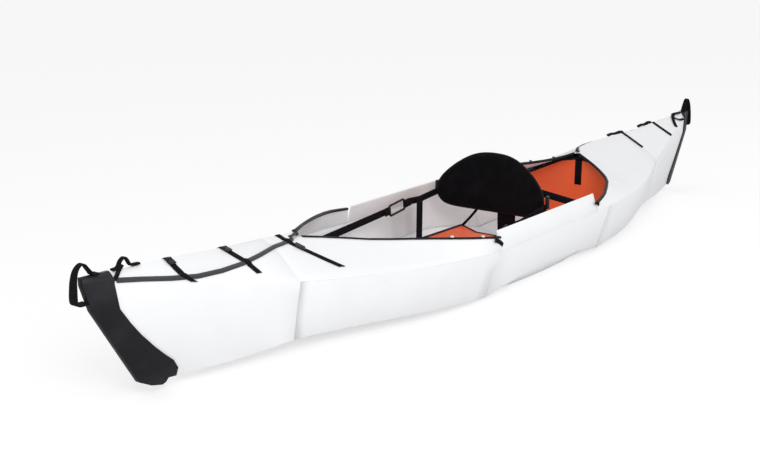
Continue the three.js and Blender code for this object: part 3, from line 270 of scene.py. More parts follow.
orange_sheet = ribbed_sheet("orange_sheet", ORANGE, SCUFFED_ORANGE, ORANGE_ROUGHNESS)
for name in ("seat_board", "seat_riser", "rear_bulkhead", "foot_brace"):
    dress(name, orange_sheet, SHEET_ROUND)

tape = Finish("black_tape", TAPE_BLACK, roughness=0.75, Specular_IOR_Level=0.15)
_, tape_across, tape_up = tape.place.parts()
tape.bump(tape_across.wave(TAPE_WEAVE) * tape_up.wave(TAPE_WEAVE), TAPE_DEPTH, strength=0.5)


def mesh_piece(name, points, faces, material, body, smooth=True):
    """A new piece from its points and faces, which rides on a body if one is given."""
    mesh = bpy.data.meshes.new(name)
    mesh.from_pydata([tuple(point) for point in points], [], faces)
    mesh.polygons.foreach_set("use_smooth", [smooth] * len(mesh.polygons))
    mesh.materials.append(material)
    mesh.update()
    piece = bpy.data.objects.new(name, mesh)
    bpy.context.scene.collection.objects.link(piece)
    if body:
        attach(piece, body)
    return piece


def lofted(rings, closed=False):
    """Faces between rings of equal counts, with flat ends unless the rings close on themselves."""
    size = len(rings[0])
    count = len(rings)
    faces = []
    for ring in range(count if closed else count - 1):
        low, high = ring * size, (ring + 1) % count * size
        faces += [(low + i, low + (i + 1) % size, high + (i + 1) % size, high + i) for i in range(size)]
    if not closed:
        faces += [tuple(range(size))[::-1], tuple(range((count - 1) * size, count * size))]
    return [point for ring in rings for point in ring], faces


def inward_at(corner, before, after, normal, middle):
    """The direction into a board at a corner of its outline, as long as the mitre there asks for."""
    sides = []
    for along in ((corner - before).normalized(), (after - corner).normalized()):
        inward = normal.cross(along).normalized()
        sides.append(inward if inward.dot(middle - corner) > 0 else -inward)
    inward = (sides[0] + sides[1]).normalized()
    return inward / max(inward.dot(sides[0]), SHARPEST_MITRE)


def bind_edge(name, outline, normals, body):
    """Tape folded over the edge of a flat or bent board, mitred at the corners of its outline."""
    above = TAPE_SLACK + TAPE_WALL
    under = -SHEET - TAPE_SLACK
    section = [(TAPE_LEG, TAPE_SLACK), (TAPE_LEG, above), (-TAPE_WALL, above),
               (-TAPE_WALL, under - TAPE_WALL), (TAPE_LEG, under - TAPE_WALL), (TAPE_LEG, under),
               (-TAPE_SLACK, under), (-TAPE_SLACK, TAPE_SLACK)]
    count = len(outline)
    middle = sum(outline, Vector()) / count
    rings = []
    for i, (corner, normal) in enumerate(zip(outline, normals)):
        inward = inward_at(corner, outline[i - 1], outline[(i + 1) % count], normal, middle)
        rings.append([corner + inward * a + normal * b for a, b in section])
    points, faces = lofted(rings, closed=True)
    round_edges(mesh_piece(name, points, faces, tape.material, body, smooth=False), TAPE_ROUND)


def plate_outline(node):
    """The outline of an upright plate's face towards the bow, in order round it."""
    face_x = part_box(node)[0].x
    corners = {(round(v.co.y, PLACE_DIGITS), round(v.co.z, PLACE_DIGITS))
               for v in nodes[node].data.vertices if v.co.x < face_x + SHEET / 2}
    y, z = (sum(corner[k] for corner in corners) / len(corners) for k in (0, 1))
    ordered = sorted(corners, key=lambda corner: math.atan2(corner[1] - z, corner[0] - y))
    return [Vector((face_x, *corner)) for corner in ordered]


for node, body in (("rear_bulkhead", "bulkhead"), ("foot_brace", "brace")):
    outline = plate_outline(node)
    bind_edge(f"{node}_binding", outline, [Vector((-1, 0, 0))] * len(outline), body)

# The seat board is flat in the middle, with a lip that rises on each side
seat_low, seat_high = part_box("seat_board")
seat_line = ((-seat_high.y, seat_high.z), (-SEAT_FLAT, SEAT_TOP),
             (SEAT_FLAT, SEAT_TOP), (seat_high.y, seat_high.z))
lip_rise = (seat_high.z - SEAT_TOP) / (seat_high.y - SEAT_FLAT)
seat_outline = []
seat_normals = []
for x, order in ((seat_low.x, 1), (seat_high.x, -1)):
    for y, z in seat_line[::order]:
        lean = -lip_rise * math.copysign(CREASE_LEAN_SHARE if abs(y) == SEAT_FLAT else 1, y)
        seat_outline.append(Vector((x, y, z)))
        seat_normals.append(Vector((0, lean, 1)).normalized())
bind_edge("seat_binding", seat_outline, seat_normals, "hull")


# The seams of the two decks are closed by extruded channels of dark grey plastic.
# Each is slid over both edges of the sheet, and is scraped lighter in places.
CHANNEL_GREY = (0.045, 0.045, 0.049)
CHANNEL_SCRAPED = (0.09, 0.09, 0.095)
CHANNEL_ROUGHNESS = 0.42
CHANNEL_GRAIN_DEPTH = 0.00005
CHANNEL_ROUND = 0.0005
SCRAPE_TINT, SCRAPE_ROUGHER = 0.5, 0.15
channel = Finish("grey_channel", CHANNEL_GREY, CHANNEL_ROUGHNESS, Specular_IOR_Level=0.2)
scrape = channel.place.noise(scale=60.0, detail=4.0).ramp(low=0.55, high=0.75)
channel.tint(scrape * SCRAPE_TINT, CHANNEL_GREY, CHANNEL_SCRAPED)
channel.feed("Roughness", scrape * SCRAPE_ROUGHER + CHANNEL_ROUGHNESS)
channel.bump(channel.place.noise(scale=900.0), CHANNEL_GRAIN_DEPTH, strength=0.4)
for end in ("bow", "stern"):
    dress(f"{end}_seam_channel", channel.material, CHANNEL_ROUND)


# The cockpit rims are edged with black extruded trim.
# It is pushed over the edge of the sheet, and has a fine dull grain.
TRIM_BLACK = (0.009, 0.0085, 0.011)
TRIM_GRAIN_DEPTH = 0.00008
TRIM_ROUND = 0.0006
trim = Finish("black_trim", TRIM_BLACK, roughness=0.5, Specular_IOR_Level=0.15)
trim.bump(trim.place.noise(scale=700.0), TRIM_GRAIN_DEPTH, strength=0.5)
for side in ("port", "starboard"):
    for end in ("front", "rear"):
        dress(f"rim_trim_{side}_{end}", trim.material, TRIM_ROUND)


# The end caps are black moulded plastic covers, slid over the stems, with a fine grained face.
# The toe of each has a moulded grip; random patches are worn lighter, and toe and crown are lighter still
# with a painted highlight.
CAP_BLACK = (0.01, 0.009, 0.012)
# The lighter tone serves both the worn patches and the painted highlight on toe and crown
CAP_WORN_AND_HIGHLIGHT = (0.03, 0.028, 0.033)
CAP_ROUGHNESS = 0.42
CAP_TOE = (0.02, 0.07)
CAP_CROWN = (0.27, 0.3)
CAP_GRIP_PITCH = 0.004
CAP_GRAIN_DEPTH = 0.00025
CAP_ROUND = 0.0016
# Shares of the worn patches and of the painted highlight on toe and crown in the colour, and of wear in the
# roughness
WEAR_TINT, TIP_HIGHLIGHT_TINT, WEAR_ROUGHER = 0.3, 0.45, 0.12
CAP_GRAIN_RELIEF, CAP_GRIP_RELIEF = 0.6, 0.5
cap = Finish("black_cap", CAP_BLACK, CAP_ROUGHNESS, Specular_IOR_Level=0.14)
cap_x, _, cap_z = cap.place.parts()
wear = cap.place.noise(scale=18.0, detail=5.0).ramp(low=0.5, high=0.72)
toe = 1 - cap_z.ramp(*CAP_TOE)
crown = cap_z.ramp(*CAP_CROWN)
# Painted highlight: toe and crown are tinted lighter, added to the random worn patches
cap.tint(wear * WEAR_TINT + (toe + crown) * TIP_HIGHLIGHT_TINT, CAP_BLACK, CAP_WORN_AND_HIGHLIGHT)
cap.feed("Roughness", wear * WEAR_ROUGHER + CAP_ROUGHNESS)
grain = cap.place.noise(scale=520.0)
grip = cap_x.wave(CAP_GRIP_PITCH) * cap_z.wave(CAP_GRIP_PITCH) * toe
cap.bump(grain * CAP_GRAIN_RELIEF + grip * CAP_GRIP_RELIEF, CAP_GRAIN_DEPTH, strength=0.6)
for end in ("bow", "stern"):
    dress(f"{end}_cap", cap.material, CAP_ROUND)


# All the straps are flat black polyester webbing, cut with heat and sewn at their ends.
# Each follows its CAD strap's sections, with rounded edges, a woven face and stitches at both ends.
STRAP_BLACK = (0.006, 0.0055, 0.0075)
STITCH_BLACK = (0.025, 0.024, 0.027)
WEAVE_ALONG = 0.0022
WEAVE_ACROSS = 0.0026
WEAVE_DEPTH = 0.0004
WEAVE_RELIEF = 0.5
STITCH_PITCH = 0.0034
STITCH_ROWS = (0.004, 0.022)
STITCH_EDGES = (0.0004, 0.0009)

# The corners at a strap's two ends have fewer edges than this, and all those between them as many or more
INNER_EDGES = 6

# Shares of the wall and the width that the rounded edge takes, and of the wall that a groove is deep
EDGE_OF_WALL, EDGE_OF_WIDTH, SHOULDER_OF_WALL, GROOVE_OF_WALL = 0.8, 0.3, 0.45, 0.12

webbing = Finish("black_webbing", STRAP_BLACK, roughness=0.8, Specular_IOR_Level=0.08)
run, over, _ = webbing.laid.parts()
weave = run.wave(WEAVE_ALONG) * over.wave(WEAVE_ACROSS)
first_row, second_row = (1 - abs(run - row).ramp(*STITCH_EDGES) for row in STITCH_ROWS)
dashes = (over.wave(STITCH_PITCH) * 0.5 + 0.5).ramp(low=0.25, high=0.5)
stitches = (first_row + second_row) * dashes
webbing.tint(stitches, STRAP_BLACK, STITCH_BLACK)
webbing.bump(weave * WEAVE_RELIEF + stitches, WEAVE_DEPTH, strength=0.6)

Section = namedtuple("Section", "middle across face width wall")


def welded(node):
    """A CAD piece's mesh, with the corners that its triangles share made one again."""
    solid = bmesh.new()
    solid.from_mesh(nodes[node].data)
    bmesh.ops.remove_doubles(solid, verts=solid.verts, dist=ONE_CORNER)
    return solid


def matched(corners, last):
    """The corners of a section in the order of those of the section before it."""
    middle, last_middle = (sum(four, Vector()) / 4 for four in (corners, last))
    return max(permutations(corners), key=lambda order: sum(
        (a - middle).dot(b - last_middle) for a, b in zip(order, last)))


def corner_rings(node):
    """The four corners of each section of a CAD strap, from one end of it to the other."""
    solid = welded(node)
    ends = [vert for vert in solid.verts if len(vert.link_edges) < INNER_EDGES]
    layer = sorted(ends, key=lambda vert: (vert.co - ends[0].co).length)[:4]
    start, beside, across, opposite = (vert.co.copy() for vert in layer)
    rings = [[start, across, opposite, beside]]
    seen = set(layer)
    while layer := {other for vert in layer for edge in vert.link_edges for other in edge.verts} - seen:
        seen |= layer
        rings.append(matched([vert.co.copy() for vert in layer], rings[-1]))
    solid.free()
    return rings


def strap_sections(node):
    """A CAD strap's sections in order, each with its middle, its two directions, its width and its wall."""
    sections = []
    for a, b, c, d in corner_rings(node):
        across, face = (b + c - a - d) / 2, (c + d - a - b) / 2
        sections.append(Section((a + b + c + d) / 4, across.normalized(), face.normalized(), across.length,
                                face.length))
    return sections


def curve_point(a, b, c, d, t):
    """The point that lies a share t of the way from b to c, on a smooth curve through all four."""
    return (b * 2 + (c - a) * t + (a * 2 - b * 5 + c * 4 - d) * t * t + (b * 3 - a - c * 3 + d) * t ** 3) / 2


def finer(sections, steps):
    """More sections between the given ones, on a smooth curve through their middles."""
    made = []
    last = len(sections) - 1
    for i in range(last):
        here, following = sections[i], sections[i + 1]
        middles = [sections[min(max(k, 0), last)].middle for k in (i - 1, i, i + 1, i + 2)]
        for t in (step / steps for step in range(steps)):
            made.append(here._replace(middle=curve_point(*middles, t),
                                      across=here.across.lerp(following.across, t).normalized(),
                                      face=here.face.lerp(following.face, t).normalized()))
    return made + [sections[-1]]


def strap_ring(section, layers):
    """Points round a section of webbing: its edges are rounded, with a groove where two layers meet."""
    half, tall = section.width / 2, section.wall / 2
    flat = half - min(tall * EDGE_OF_WALL, half * EDGE_OF_WIDTH)
    shoulder = tall * SHOULDER_OF_WALL
    groove = section.wall * GROOVE_OF_WALL if layers > 1 else 0
    side = [(flat, -tall), (half, -shoulder), (half - groove, 0), (half, shoulder), (flat, tall)]
    loop = [(0, -tall)] + side + [(0, tall)] + [(-x, y) for x, y in reversed(side)]
    return [section.middle + section.across * x + section.face * y for x, y in loop]


def lay_strap(name, sections, body, material, layers=1):
    """Webbing along sections, with the distance from its nearer end and from its middle line as its map."""
    runs = [0]
    for before, after in zip(sections, sections[1:]):
        runs.append(runs[-1] + (after.middle - before.middle).length)
    rings = [strap_ring(section, layers) for section in sections]
    points, faces = lofted(rings)
    piece = mesh_piece(name, points, faces, material, body)
    laid = piece.data.uv_layers.new(name="laid")
    for corner in piece.data.loops:
        ring = corner.vertex_index // len(rings[0])
        offset = (points[corner.vertex_index] - sections[ring].middle).dot(sections[ring].across)
        laid.data[corner.index].uv = (min(runs[ring], runs[-1] - runs[ring]), offset)
    return piece


def replace_strap(node, body="hull", steps=1, layers=1, pinch=0.0, grow=1.0):
    """The sewn strap that stands for a CAD one, wider by grow and narrower towards its top by pinch."""
    sections = strap_sections(node)
    if steps > 1:
        sections = finer(sections, steps)
    heights = [section.middle.z for section in sections]
    low, high = min(heights), max(heights)
    for i, section in enumerate(sections):
        share = 1 - pinch * ((section.middle.z - low) / (high - low)) ** 2
        sections[i] = section._replace(width=section.width * grow * share)
    piece = lay_strap(f"{node}_webbing", sections, body, webbing.material, layers)
    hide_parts(node)
    return piece


for node in ("bow_deck_strap_front", "bow_deck_strap_rear", "cockpit_strap", "stern_deck_strap_front",
             "stern_deck_strap_rear"):
    replace_strap(node)


# The carry loops over the tips are two layers of webbing sewn together, and sewn flat to the caps.
# Each is gathered at its top, where the hand holds it.
HANDLE_PINCH = 0.45
for end in ("bow", "stern"):
    replace_strap(f"{end}_handle", steps=3, layers=2, pinch=HANDLE_PINCH)


# The deck straps are closed by small side-release buckles of black moulded plastic.
# Each has a hollow half with a window on each side, and a half with a tongue and two sprung arms.
PLASTIC_BLACK = (0.01, 0.01, 0.012)
PLASTIC_ROUGHNESS = 0.26
PLASTIC_ROUGHER = 0.2
PLASTIC_GRAIN_DEPTH = 0.00004
MOULDED_STEPS = 3
plastic = Finish("black_plastic", PLASTIC_BLACK, PLASTIC_ROUGHNESS, Specular_IOR_Level=0.25)
plastic.feed("Roughness", plastic.place.noise(scale=40.0, detail=3.0) * PLASTIC_ROUGHER + PLASTIC_ROUGHNESS)
plastic.bump(plastic.place.noise(scale=1400.0), PLASTIC_GRAIN_DEPTH, strength=0.3)

# Each part's place along and across the buckle, then its length, width and wall, as shares of the whole
BUCKLE_SHARES = {
    "socket": ((-0.2, 0), (0.52, 1, 1)),
    "tongue": ((0.18, 0), (0.34, 0.3, 0.55)),
    "base": ((0.4, 0), (0.2, 0.95, 0.8)),
    "arm_left": ((0.14, -0.4), (0.36, 0.14, 0.7)),
    "arm_right": ((0.14, 0.4), (0.36, 0.14, 0.7)),
}
BUCKLE_ROUNDS = {"socket": 0.0012, "tongue": 0.0006, "base": 0.0009, "arm_left": 0.0006, "arm_right": 0.0006}


def rounded_block(name, middle, axes, size, body, radius):
    """A moulded block on its own axes, with rounded edges."""
    along, across, face = axes
    length, width, tall = (value / 2 for value in size)
    rings = [[middle + along * a + across * (b * width) + face * (c * tall)
              for b, c in ((-1, -1), (1, -1), (1, 1), (-1, 1))] for a in (-length, length)]
    points, faces = lofted(rings)
    piece = mesh_piece(name, points, faces, plastic.material, body)
    round_edges(piece, radius, MOULDED_STEPS)
    return piece


def release_buckle(node):
    """A side-release buckle lying along its strap."""
    sections = strap_sections(node)
    centre = sections[len(sections) // 2]
    length = sum((b.middle - a.middle).length for a, b in zip(sections, sections[1:]))
    along = (sections[-1].middle - sections[0].middle).normalized()
    across = (centre.across - along * centre.across.dot(along)).normalized()
    face = along.cross(across).normalized()
    if face.z < 0:
        face.negate()
    for part, ((ahead, aside), (long, wide, thick)) in BUCKLE_SHARES.items():
        middle = centre.middle + along * length * ahead + across * (centre.width * aside)
        size = (length * long, centre.width * wide, centre.wall * thick)
        piece = rounded_block(f"{node}_{part}", middle, (along, across, face), size, "hull",
                              BUCKLE_ROUNDS[part])
        if part == "socket":
            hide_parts(node)


for node in ("bow_buckle_front", "bow_buckle_rear", "cockpit_buckle"):
    release_buckle(node)


# The ties on the ridge behind the caps hold the folded boat shut, and lie knotted when it is open.
# They are narrow webbing too, drawn a little wider than their plain CAD straps.
TIE_GROWTH = {"bow_tie_cord": 1.4, "stern_tie_strap": 1.1}
for node, grow in TIE_GROWTH.items():
    replace_strap(node, steps=2, grow=grow)


# The straps inside hold the backrest: one on each side to the hull's wall through a ring, one back to
# the cockpit wall, a plate of wide webbing down to the seat board, and one strap under the seat.
for node in ("seat_girth_strap", "side_strap_port_front", "side_strap_starboard_front"):
    replace_strap(node)
replace_strap("bulkhead_strap", "bulkhead")
backrest_middle = sum(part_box("backrest_board"), Vector()) / 2
for node in ("side_strap_port_rear", "side_strap_starboard_rear", "rear_strap_port", "rear_strap_starboard",
             "backrest_webbing", "backrest_tether"):
    first, *_, last = (section.middle for section in strap_sections(node))
    end, start = sorted((first, last), key=lambda place: (place - backrest_middle).length)
    piece = replace_strap(node, body=None)
    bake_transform(piece)


# Loose ends of webbing stand at the ends of the two near trims, beside the stern's ridge and by the ties.
# They are cut from the same webbing, and most of them lie on the deck.
END_WALL = 0.0024
END_STEPS = 3
ABOVE_DECK = 1
DECK_HEIGHT = 0.31

# Points of the two at the trims, which hang beside the hull's near side, and their widths
TRIM_TAILS = {
    "front": (((-0.428, -0.3125, 0.2165), (-0.404, -0.3145, 0.207), (-0.386, -0.3155, 0.193)), 0.014),
    "rear": (((0.268, -0.3135, 0.219), (0.282, -0.315, 0.214), (0.295, -0.3155, 0.206)), 0.012),
}

# The two beside the stern's ridge: where they start and stop, and their height over the deck with its waves
STERN_TAILS = {"near": (1.02, 1.17), "far": (1.32, 1.46)}
STERN_TAIL_SIDE = 0.014
STERN_TAIL_LIFT = 0.008
STERN_TAIL_WAVE = 0.003
STERN_TAIL_STEPS = 4

# Places on the deck of those by the ties, each with its height over the deck
BOW_TIE_TAIL = ((-1.7, 0.009, 0.0045), (-1.73, 0.009, 0.0045), (-1.75, 0.009, 0.0045),
                (-1.768, 0.009, 0.0045))
BOW_TIE_LEG = ((-1.742, -0.022, 0.004), (-1.73, -0.016, 0.0055), (-1.715, -0.009, 0.011))
BOW_TIE_KNOT = (-1.704, -0.008, 0.3625)
STERN_TIE_BAND = ((1.655, -0.014, 0.006), (1.7, -0.024, 0.004), (1.742, -0.026, 0.004))

deck_trees = []
for name, node in nodes.items():
    if name.startswith(("foredeck", "rear_deck", "deck_")):
        places = [vertex.co for vertex in node.data.vertices]
        deck_trees.append(BVHTree.FromPolygons(places, [face.vertices for face in node.data.polygons]))


def on_deck(x, y, lift):
    """The point over the deck at a place of the plan, raised by lift; a gap takes the nearest height."""
    above, beside = Vector((x, y, ABOVE_DECK)), Vector((x, y, DECK_HEIGHT))
    hits = [tree.ray_cast(above, Vector((0, 0, -1)))[0] for tree in deck_trees]
    hits = [hit for hit in hits if hit]
    if not hits:
        nearest = min((tree.find_nearest(beside) for tree in deck_trees), key=lambda found: found[3])
        hits = [nearest[0]]
    return Vector((x, y, max(hit.z for hit in hits) + lift))


def deck_line(places):
    """Points over the deck, one for each place of the plan and its lift."""
    return [on_deck(*place) for place in places]


def loose_end(name, points, face, width, wall=END_WALL, material=webbing.material, slot="black_webbing"):
    """A loose end of webbing or a bent cover through the given points, with its face turned as given."""
    points = [Vector(point) for point in points]
    sections = []
    for i, point in enumerate(points):
        along = (points[min(i + 1, len(points) - 1)] - points[max(i - 1, 0)]).normalized()
        across = Vector(face).cross(along).normalized()
        sections.append(Section(point, across, along.cross(across).normalized(), width, wall))
    piece = lay_strap(name, finer(sections, END_STEPS), "hull", material)


for name, (points, width) in TRIM_TAILS.items():
    loose_end(f"trim_tail_{name}", points, face=(0, -1, 0), width=width)
for name, (start, stop) in STERN_TAILS.items():
    places = [(start + (stop - start) * step / STERN_TAIL_STEPS, STERN_TAIL_SIDE,
               STERN_TAIL_LIFT + STERN_TAIL_WAVE * (step % 2)) for step in range(STERN_TAIL_STEPS + 1)]
    loose_end(f"stern_tail_{name}", deck_line(places), face=(0, -0.6, 0.8), width=0.013, wall=0.004)
loose_end("bow_tie_tail", deck_line(BOW_TIE_TAIL), face=(0, 0.3, 1), width=0.012)
loose_end("bow_tie_leg", deck_line(BOW_TIE_LEG) + [BOW_TIE_KNOT], face=(0, -0.7, 0.7), width=0.011,
          wall=0.003)
loose_end("stern_tie_band", deck_line(STERN_TIE_BAND), face=(0, -0.5, 1), width=0.014)


# Bent covers of black plastic close the points where the two trims of each rim meet the seam.
# The bow's has a short link beside it, which hooks over the ends of the trims.
BOW_COVER = ((-1.083, -0.016, 0.0045), (-1.065, -0.013, 0.0035), (-1.046, -0.009, 0.0035))
BOW_LINK = ((-1.0425, 0.006, 0.004), (-1.043, -0.004, 0.004), (-1.0425, -0.0105, 0.004))
STERN_COVER = ((0.7215, -0.008, 0.0035), (0.7215, 0, 0.0045), (0.7215, 0.008, 0.0035))
cover = {"material": plastic.material, "slot": "black_plastic"}
loose_end("bow_apex_cover", deck_line(BOW_COVER), face=(0, 0, 1), width=0.013, wall=0.003, **cover)
loose_end("bow_apex_link", deck_line(BOW_LINK), face=(-0.3, -0.4, 1), width=0.011, wall=0.004, **cover)
loose_end("stern_apex_cover", deck_line(STERN_COVER), face=(0, 0, 1), width=0.014, wall=0.004, **cover)


# Small round snaps hold the trims to the sheet: two of white plastic on the near front trim, and two of
# black plastic on the far rear trim. Each is a low dome.
SNAP_WHITE = (0.8, 0.8, 0.81)
SNAP_SIDES = 16
SNAP_ROWS = ((0.006, 0.0008), (0.006, 0.0028), (0.005, 0.0042), (0.0025, 0.005))
snap = Finish("white_plastic", SNAP_WHITE, roughness=0.4)
SNAPS = {
    "near_front": ((-0.588, -0.252, 0.2485), snap.material),
    "near_rear": ((-0.472, -0.293, 0.2325), snap.material),
    "far_front": ((0.618, 0.157, 0.2655), plastic.material),
    "far_rear": ((0.682, 0.087, 0.2795), plastic.material),
}


def circle(sides):
    """The angles of even steps round a circle, each as its cosine and its sine."""
    return [(math.cos(math.tau * k / sides), math.sin(math.tau * k / sides)) for k in range(sides)]


for name, (place, material) in SNAPS.items():
    rings = [[Vector(place) + Vector((radius * c, radius * s, rise)) for c, s in circle(SNAP_SIDES)]
             for radius, rise in SNAP_ROWS]
    points, faces = lofted(rings)
    mesh_piece(f"snap_{name}", points, faces, material, "hull")


# An open frame of black plastic joins the two halves of each side strap.
# It is one moulded bar, round in section, that runs round a window with rounded corners.
RING_BAR = 0.0085
RING_CORNER = 0.008
RING_BAR_SIDES = 8
CORNER_STEPS = 4
BLOCK_CORNERS = 8


def block_frame(points):
    """A block's middle, its three directions from its corners, and its reach from the middle along each."""
    middle = sum(points, Vector()) / len(points)
    outermost = sorted(points, key=lambda point: -(point - middle).length)[:BLOCK_CORNERS]
    far = outermost[0]
    below = min((p for p in outermost if (p - far).length > RING_BAR * 2), key=lambda p: (p - far).length)
    down = (below - far).normalized()
    aside = far - middle
    out = (aside - down * aside.dot(down)).cross(down).normalized()
    along = down.cross(out).normalized()
    ahead, outward = (max((p - middle).dot(axis) for p in points) for axis in (along, out))
    return middle, (along, down, out), (ahead, (below - far).length / 2, outward)


def window_path(half_length, half_height):
    """Places round a window with rounded corners, each with the direction that leads out of it."""
    path = []
    for x, y, start in ((1, 1, 0), (-1, 1, 90), (-1, -1, 180), (1, -1, 270)):
        for step in range(CORNER_STEPS + 1):
            angle = math.radians(start + step * 90 / CORNER_STEPS)
            c, s = math.cos(angle), math.sin(angle)
            path.append(((x * (half_length - RING_CORNER) + RING_CORNER * c,
                          y * (half_height - RING_CORNER) + RING_CORNER * s), (c, s)))
    return path


def ring_buckle(node):
    """The open frame that stands for a CAD strap buckle."""
    solid = welded(node)
    points = [vert.co.copy() for vert in solid.verts]
    solid.free()
    middle, (along, down, out), (half_length, half_height, half_depth) = block_frame(points)
    rings = []
    for (x, y), (c, s) in window_path(half_length - RING_BAR / 2, half_height - RING_BAR / 2):
        place = middle + along * x + down * y
        outward = along * c + down * s
        rings.append([place + outward * (RING_BAR / 2 * a) + out * (min(half_depth, RING_BAR / 2) * b)
                      for a, b in circle(RING_BAR_SIDES)])
    points, faces = lofted(rings, closed=True)
    piece = mesh_piece(f"{node}_frame", points, faces, plastic.material, "hull")
    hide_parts(node)


for side in ("port", "starboard"):
    ring_buckle(f"strap_buckle_{side}")


# The backrest is a foam pad in black fabric with a bound edge and a sewn channel, on a thin moulded board.
# A small clasp stands on each side of it, where its straps are held.
BACK_X = 0.088
BACK_FOOT = 0.175
BACK_HALF = 0.229
BACK_HEIGHT = 0.216
BACK_SWEEP = 0.038
BACK_CURVE_STEPS = 8
BOARD_ROUND = 0.0012
PAD_WALL = 0.026
CORE_HEIGHT_SHARE = 0.45
PIPE_RADIUS = 0.0035
PIPE_SIDES = 8
PIPE_SHARES = (0.992, 0.4)
FABRIC_BLACK = (0.004, 0.0038, 0.0046)
FOLD_BLACK = (0.0035, 0.0033, 0.0041)
FOLD_GREY = (0.0065, 0.0063, 0.008)
KNIT_PITCH = 0.003
KNIT_DEPTH = 0.0006
KNIT_RELIEF, FOLD_RELIEF = 0.35, 1.4
CLASP_PLACE = (0.052, 0.2335, 0.245)
CLASP_SIZE = (0.046, 0.016, 0.01)
CLASP_ROUND = 0.002

# One half of the outline, from the top to the foot
HALF_OUTLINE_SHARES = ((0, 1), (0.27, 0.975), (0.5, 0.885), (0.74, 0.715), (0.92, 0.52), (0.985, 0.34),
                       (0.96, 0.17), (0.86, 0.06), (0.68, 0.015), (0.36, 0), (0, 0))

# Each row is a share of the outline and a share of the pad's wall; the dip is the sewn channel
PAD_ROW_SHARES = (
    (0.35, 0), (0.7, 0), (0.93, 0), (0.965, 0.05), (0.985, 0.2), (0.992, 0.4), (0.98, 0.58), (0.955, 0.7),
    (0.93, 0.78), (0.905, 0.84), (0.885, 0.87), (0.872, 0.82), (0.86, 0.87), (0.83, 0.92), (0.76, 0.97),
    (0.65, 1.0), (0.5, 1.03), (0.3, 1.05))

fabric = Finish("black_fabric", FABRIC_BLACK, roughness=0.9, Sheen_Weight=0.04, Specular_IOR_Level=0.04)
_, cloth_across, cloth_up = fabric.place.parts()
knit = cloth_across.wave(KNIT_PITCH) * cloth_up.wave(KNIT_PITCH)
fold = fabric.place.noise(scale=26.0, detail=3.0)
fabric.tint(fold.ramp(low=0.35, high=0.8), FOLD_BLACK, FOLD_GREY)
fabric.bump(knit * KNIT_RELIEF + fold * FOLD_RELIEF, KNIT_DEPTH, strength=0.55)


def closed_curve(corners, steps):
    """Points on a smooth closed curve through the given ones, with steps to each."""
    count = len(corners)
    curve = []
    for i in range(count):
        around = [corners[(i + k) % count] for k in (-1, 0, 1, 2)]
        curve += [curve_point(*around, step / steps) for step in range(steps)]
    return curve


def backrest_point(flat, ahead):
    """A point of the curved backrest, by its place in the outline and its distance ahead of the board."""
    return Vector((BACK_X - ahead - BACK_SWEEP * (flat.x / BACK_HALF) ** 2, flat.x, BACK_FOOT + flat.y))


half_outline = [Vector((y * BACK_HALF, z * BACK_HEIGHT)) for y, z in HALF_OUTLINE_SHARES]
mirrored = [Vector((-point.x, point.y)) for point in reversed(half_outline[1:-1])]
outline = closed_curve(half_outline + mirrored, BACK_CURVE_STEPS)
core = Vector((0, BACK_HEIGHT * CORE_HEIGHT_SHARE))

rings = [[backrest_point(core.lerp(point, share), deep * PAD_WALL) for point in outline]
         for share, deep in PAD_ROW_SHARES]
points, faces = lofted(rings)
pad = mesh_piece("backrest_cushion", points, faces, fabric.material, "backrest")
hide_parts("backrest_pad")

pipe_share, pipe_deep = PIPE_SHARES
rings = []
for point in outline:
    place = backrest_point(core.lerp(point, pipe_share), PAD_WALL * pipe_deep)
    outward = Vector((0, *(point - core))).normalized()
    rings.append([place + outward * (PIPE_RADIUS * c) + Vector((1, 0, 0)) * (PIPE_RADIUS * s)
                  for c, s in circle(PIPE_SIDES)])
points, faces = lofted(rings, closed=True)
piping = mesh_piece("backrest_piping", points, faces, tape.material, "backrest")

dress("backrest_board", plastic.material, BOARD_ROUND)

clasp_axes = (Vector((0, 0, 1)), Vector((1, 0, 0)), Vector((0, 1, 0)))
for side, way in (("port", -1), ("starboard", 1)):
    x, y, z = CLASP_PLACE
    rounded_block(f"backrest_clasp_{side}", Vector((x, way * y, z)), clasp_axes, CLASP_SIZE, "backrest",
                  CLASP_ROUND)


# The floor and the light: a pale studio floor and a white surround, which both look whiter to the camera
# than they light the boat, and two broad soft lights on the near side.
FLOOR_HALF = 40
FLOOR_WHITE = (0.84, 0.84, 0.845)
FLOOR_GLOW = 1.32
FLOOR_GLOW_SHARE = 0.45
PURE_WHITE = (1, 1, 1, 1)
SURROUND_LIGHT = 0.68
SURROUND_SEEN_MORE = 0.32

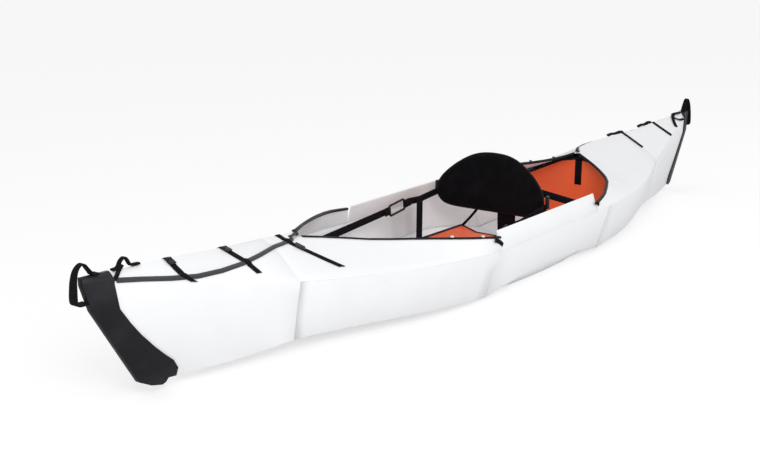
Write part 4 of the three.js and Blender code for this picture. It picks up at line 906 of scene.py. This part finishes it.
# Each lamp's power, size, place and the point that it shines at
LAMPS = {
    "key_light": (98, 2.4, (-3.5, -3.2, 2.9), (-0.4, 0, 0.2)),
    "fill_light": (46, 3, (2.5, -5, 2.5), (0.9, 0, 0.2)),
}

floor_mesh = bpy.data.meshes.new("floor")
floor_corners = [(x * FLOOR_HALF, y * FLOOR_HALF, 0) for x, y in ((-1, -1), (1, -1), (1, 1), (-1, 1))]
floor_mesh.from_pydata(floor_corners, [], [(0, 1, 2, 3)])
floor = bpy.data.objects.new("floor", floor_mesh)
bpy.context.scene.collection.objects.link(floor)
ground = Finish("studio_floor", FLOOR_WHITE, roughness=0.9)
rays = ground.place.node("ShaderNodeLightPath", out="Is Camera Ray")
glow = ground.place.node("ShaderNodeEmission", {}, {"Color": PURE_WHITE, "Strength": FLOOR_GLOW})
lit = Wire(ground.tree, ground.shader.outputs[0])
shown = glow.node("ShaderNodeMixShader", {}, dict(enumerate((rays * FLOOR_GLOW_SHARE, lit, glow))))
ground.tree.links.new(shown.socket, ground.tree.nodes["Material Output"].inputs["Surface"])
floor_mesh.materials.append(ground.material)

world = bpy.data.worlds.new("surround")
bpy.context.scene.world = world
world.use_nodes = True
seen = Wire(world.node_tree).node("ShaderNodeLightPath", out="Is Camera Ray")
mirrored_too = seen.math("MAXIMUM", seen, seen.beside("Is Glossy Ray"))
seen = seen.math("MAXIMUM", mirrored_too, seen.beside("Is Transmission Ray"))
surround = world.node_tree.nodes["Background"]
surround.inputs["Color"].default_value = PURE_WHITE
world.node_tree.links.new((seen * SURROUND_SEEN_MORE + SURROUND_LIGHT).socket, surround.inputs["Strength"])

for name, (power, size, place, aim) in LAMPS.items():
    lamp = bpy.data.objects.new(name, bpy.data.lights.new(name, "AREA"))
    lamp.data.energy = power
    lamp.data.size = size
    lamp.location = place
    lamp.rotation_euler = (Vector(aim) - Vector(place)).to_track_quat("-Z", "Y").to_euler()
    bpy.context.scene.collection.objects.link(lamp)

bpy.context.scene.view_settings.view_transform = "Standard"
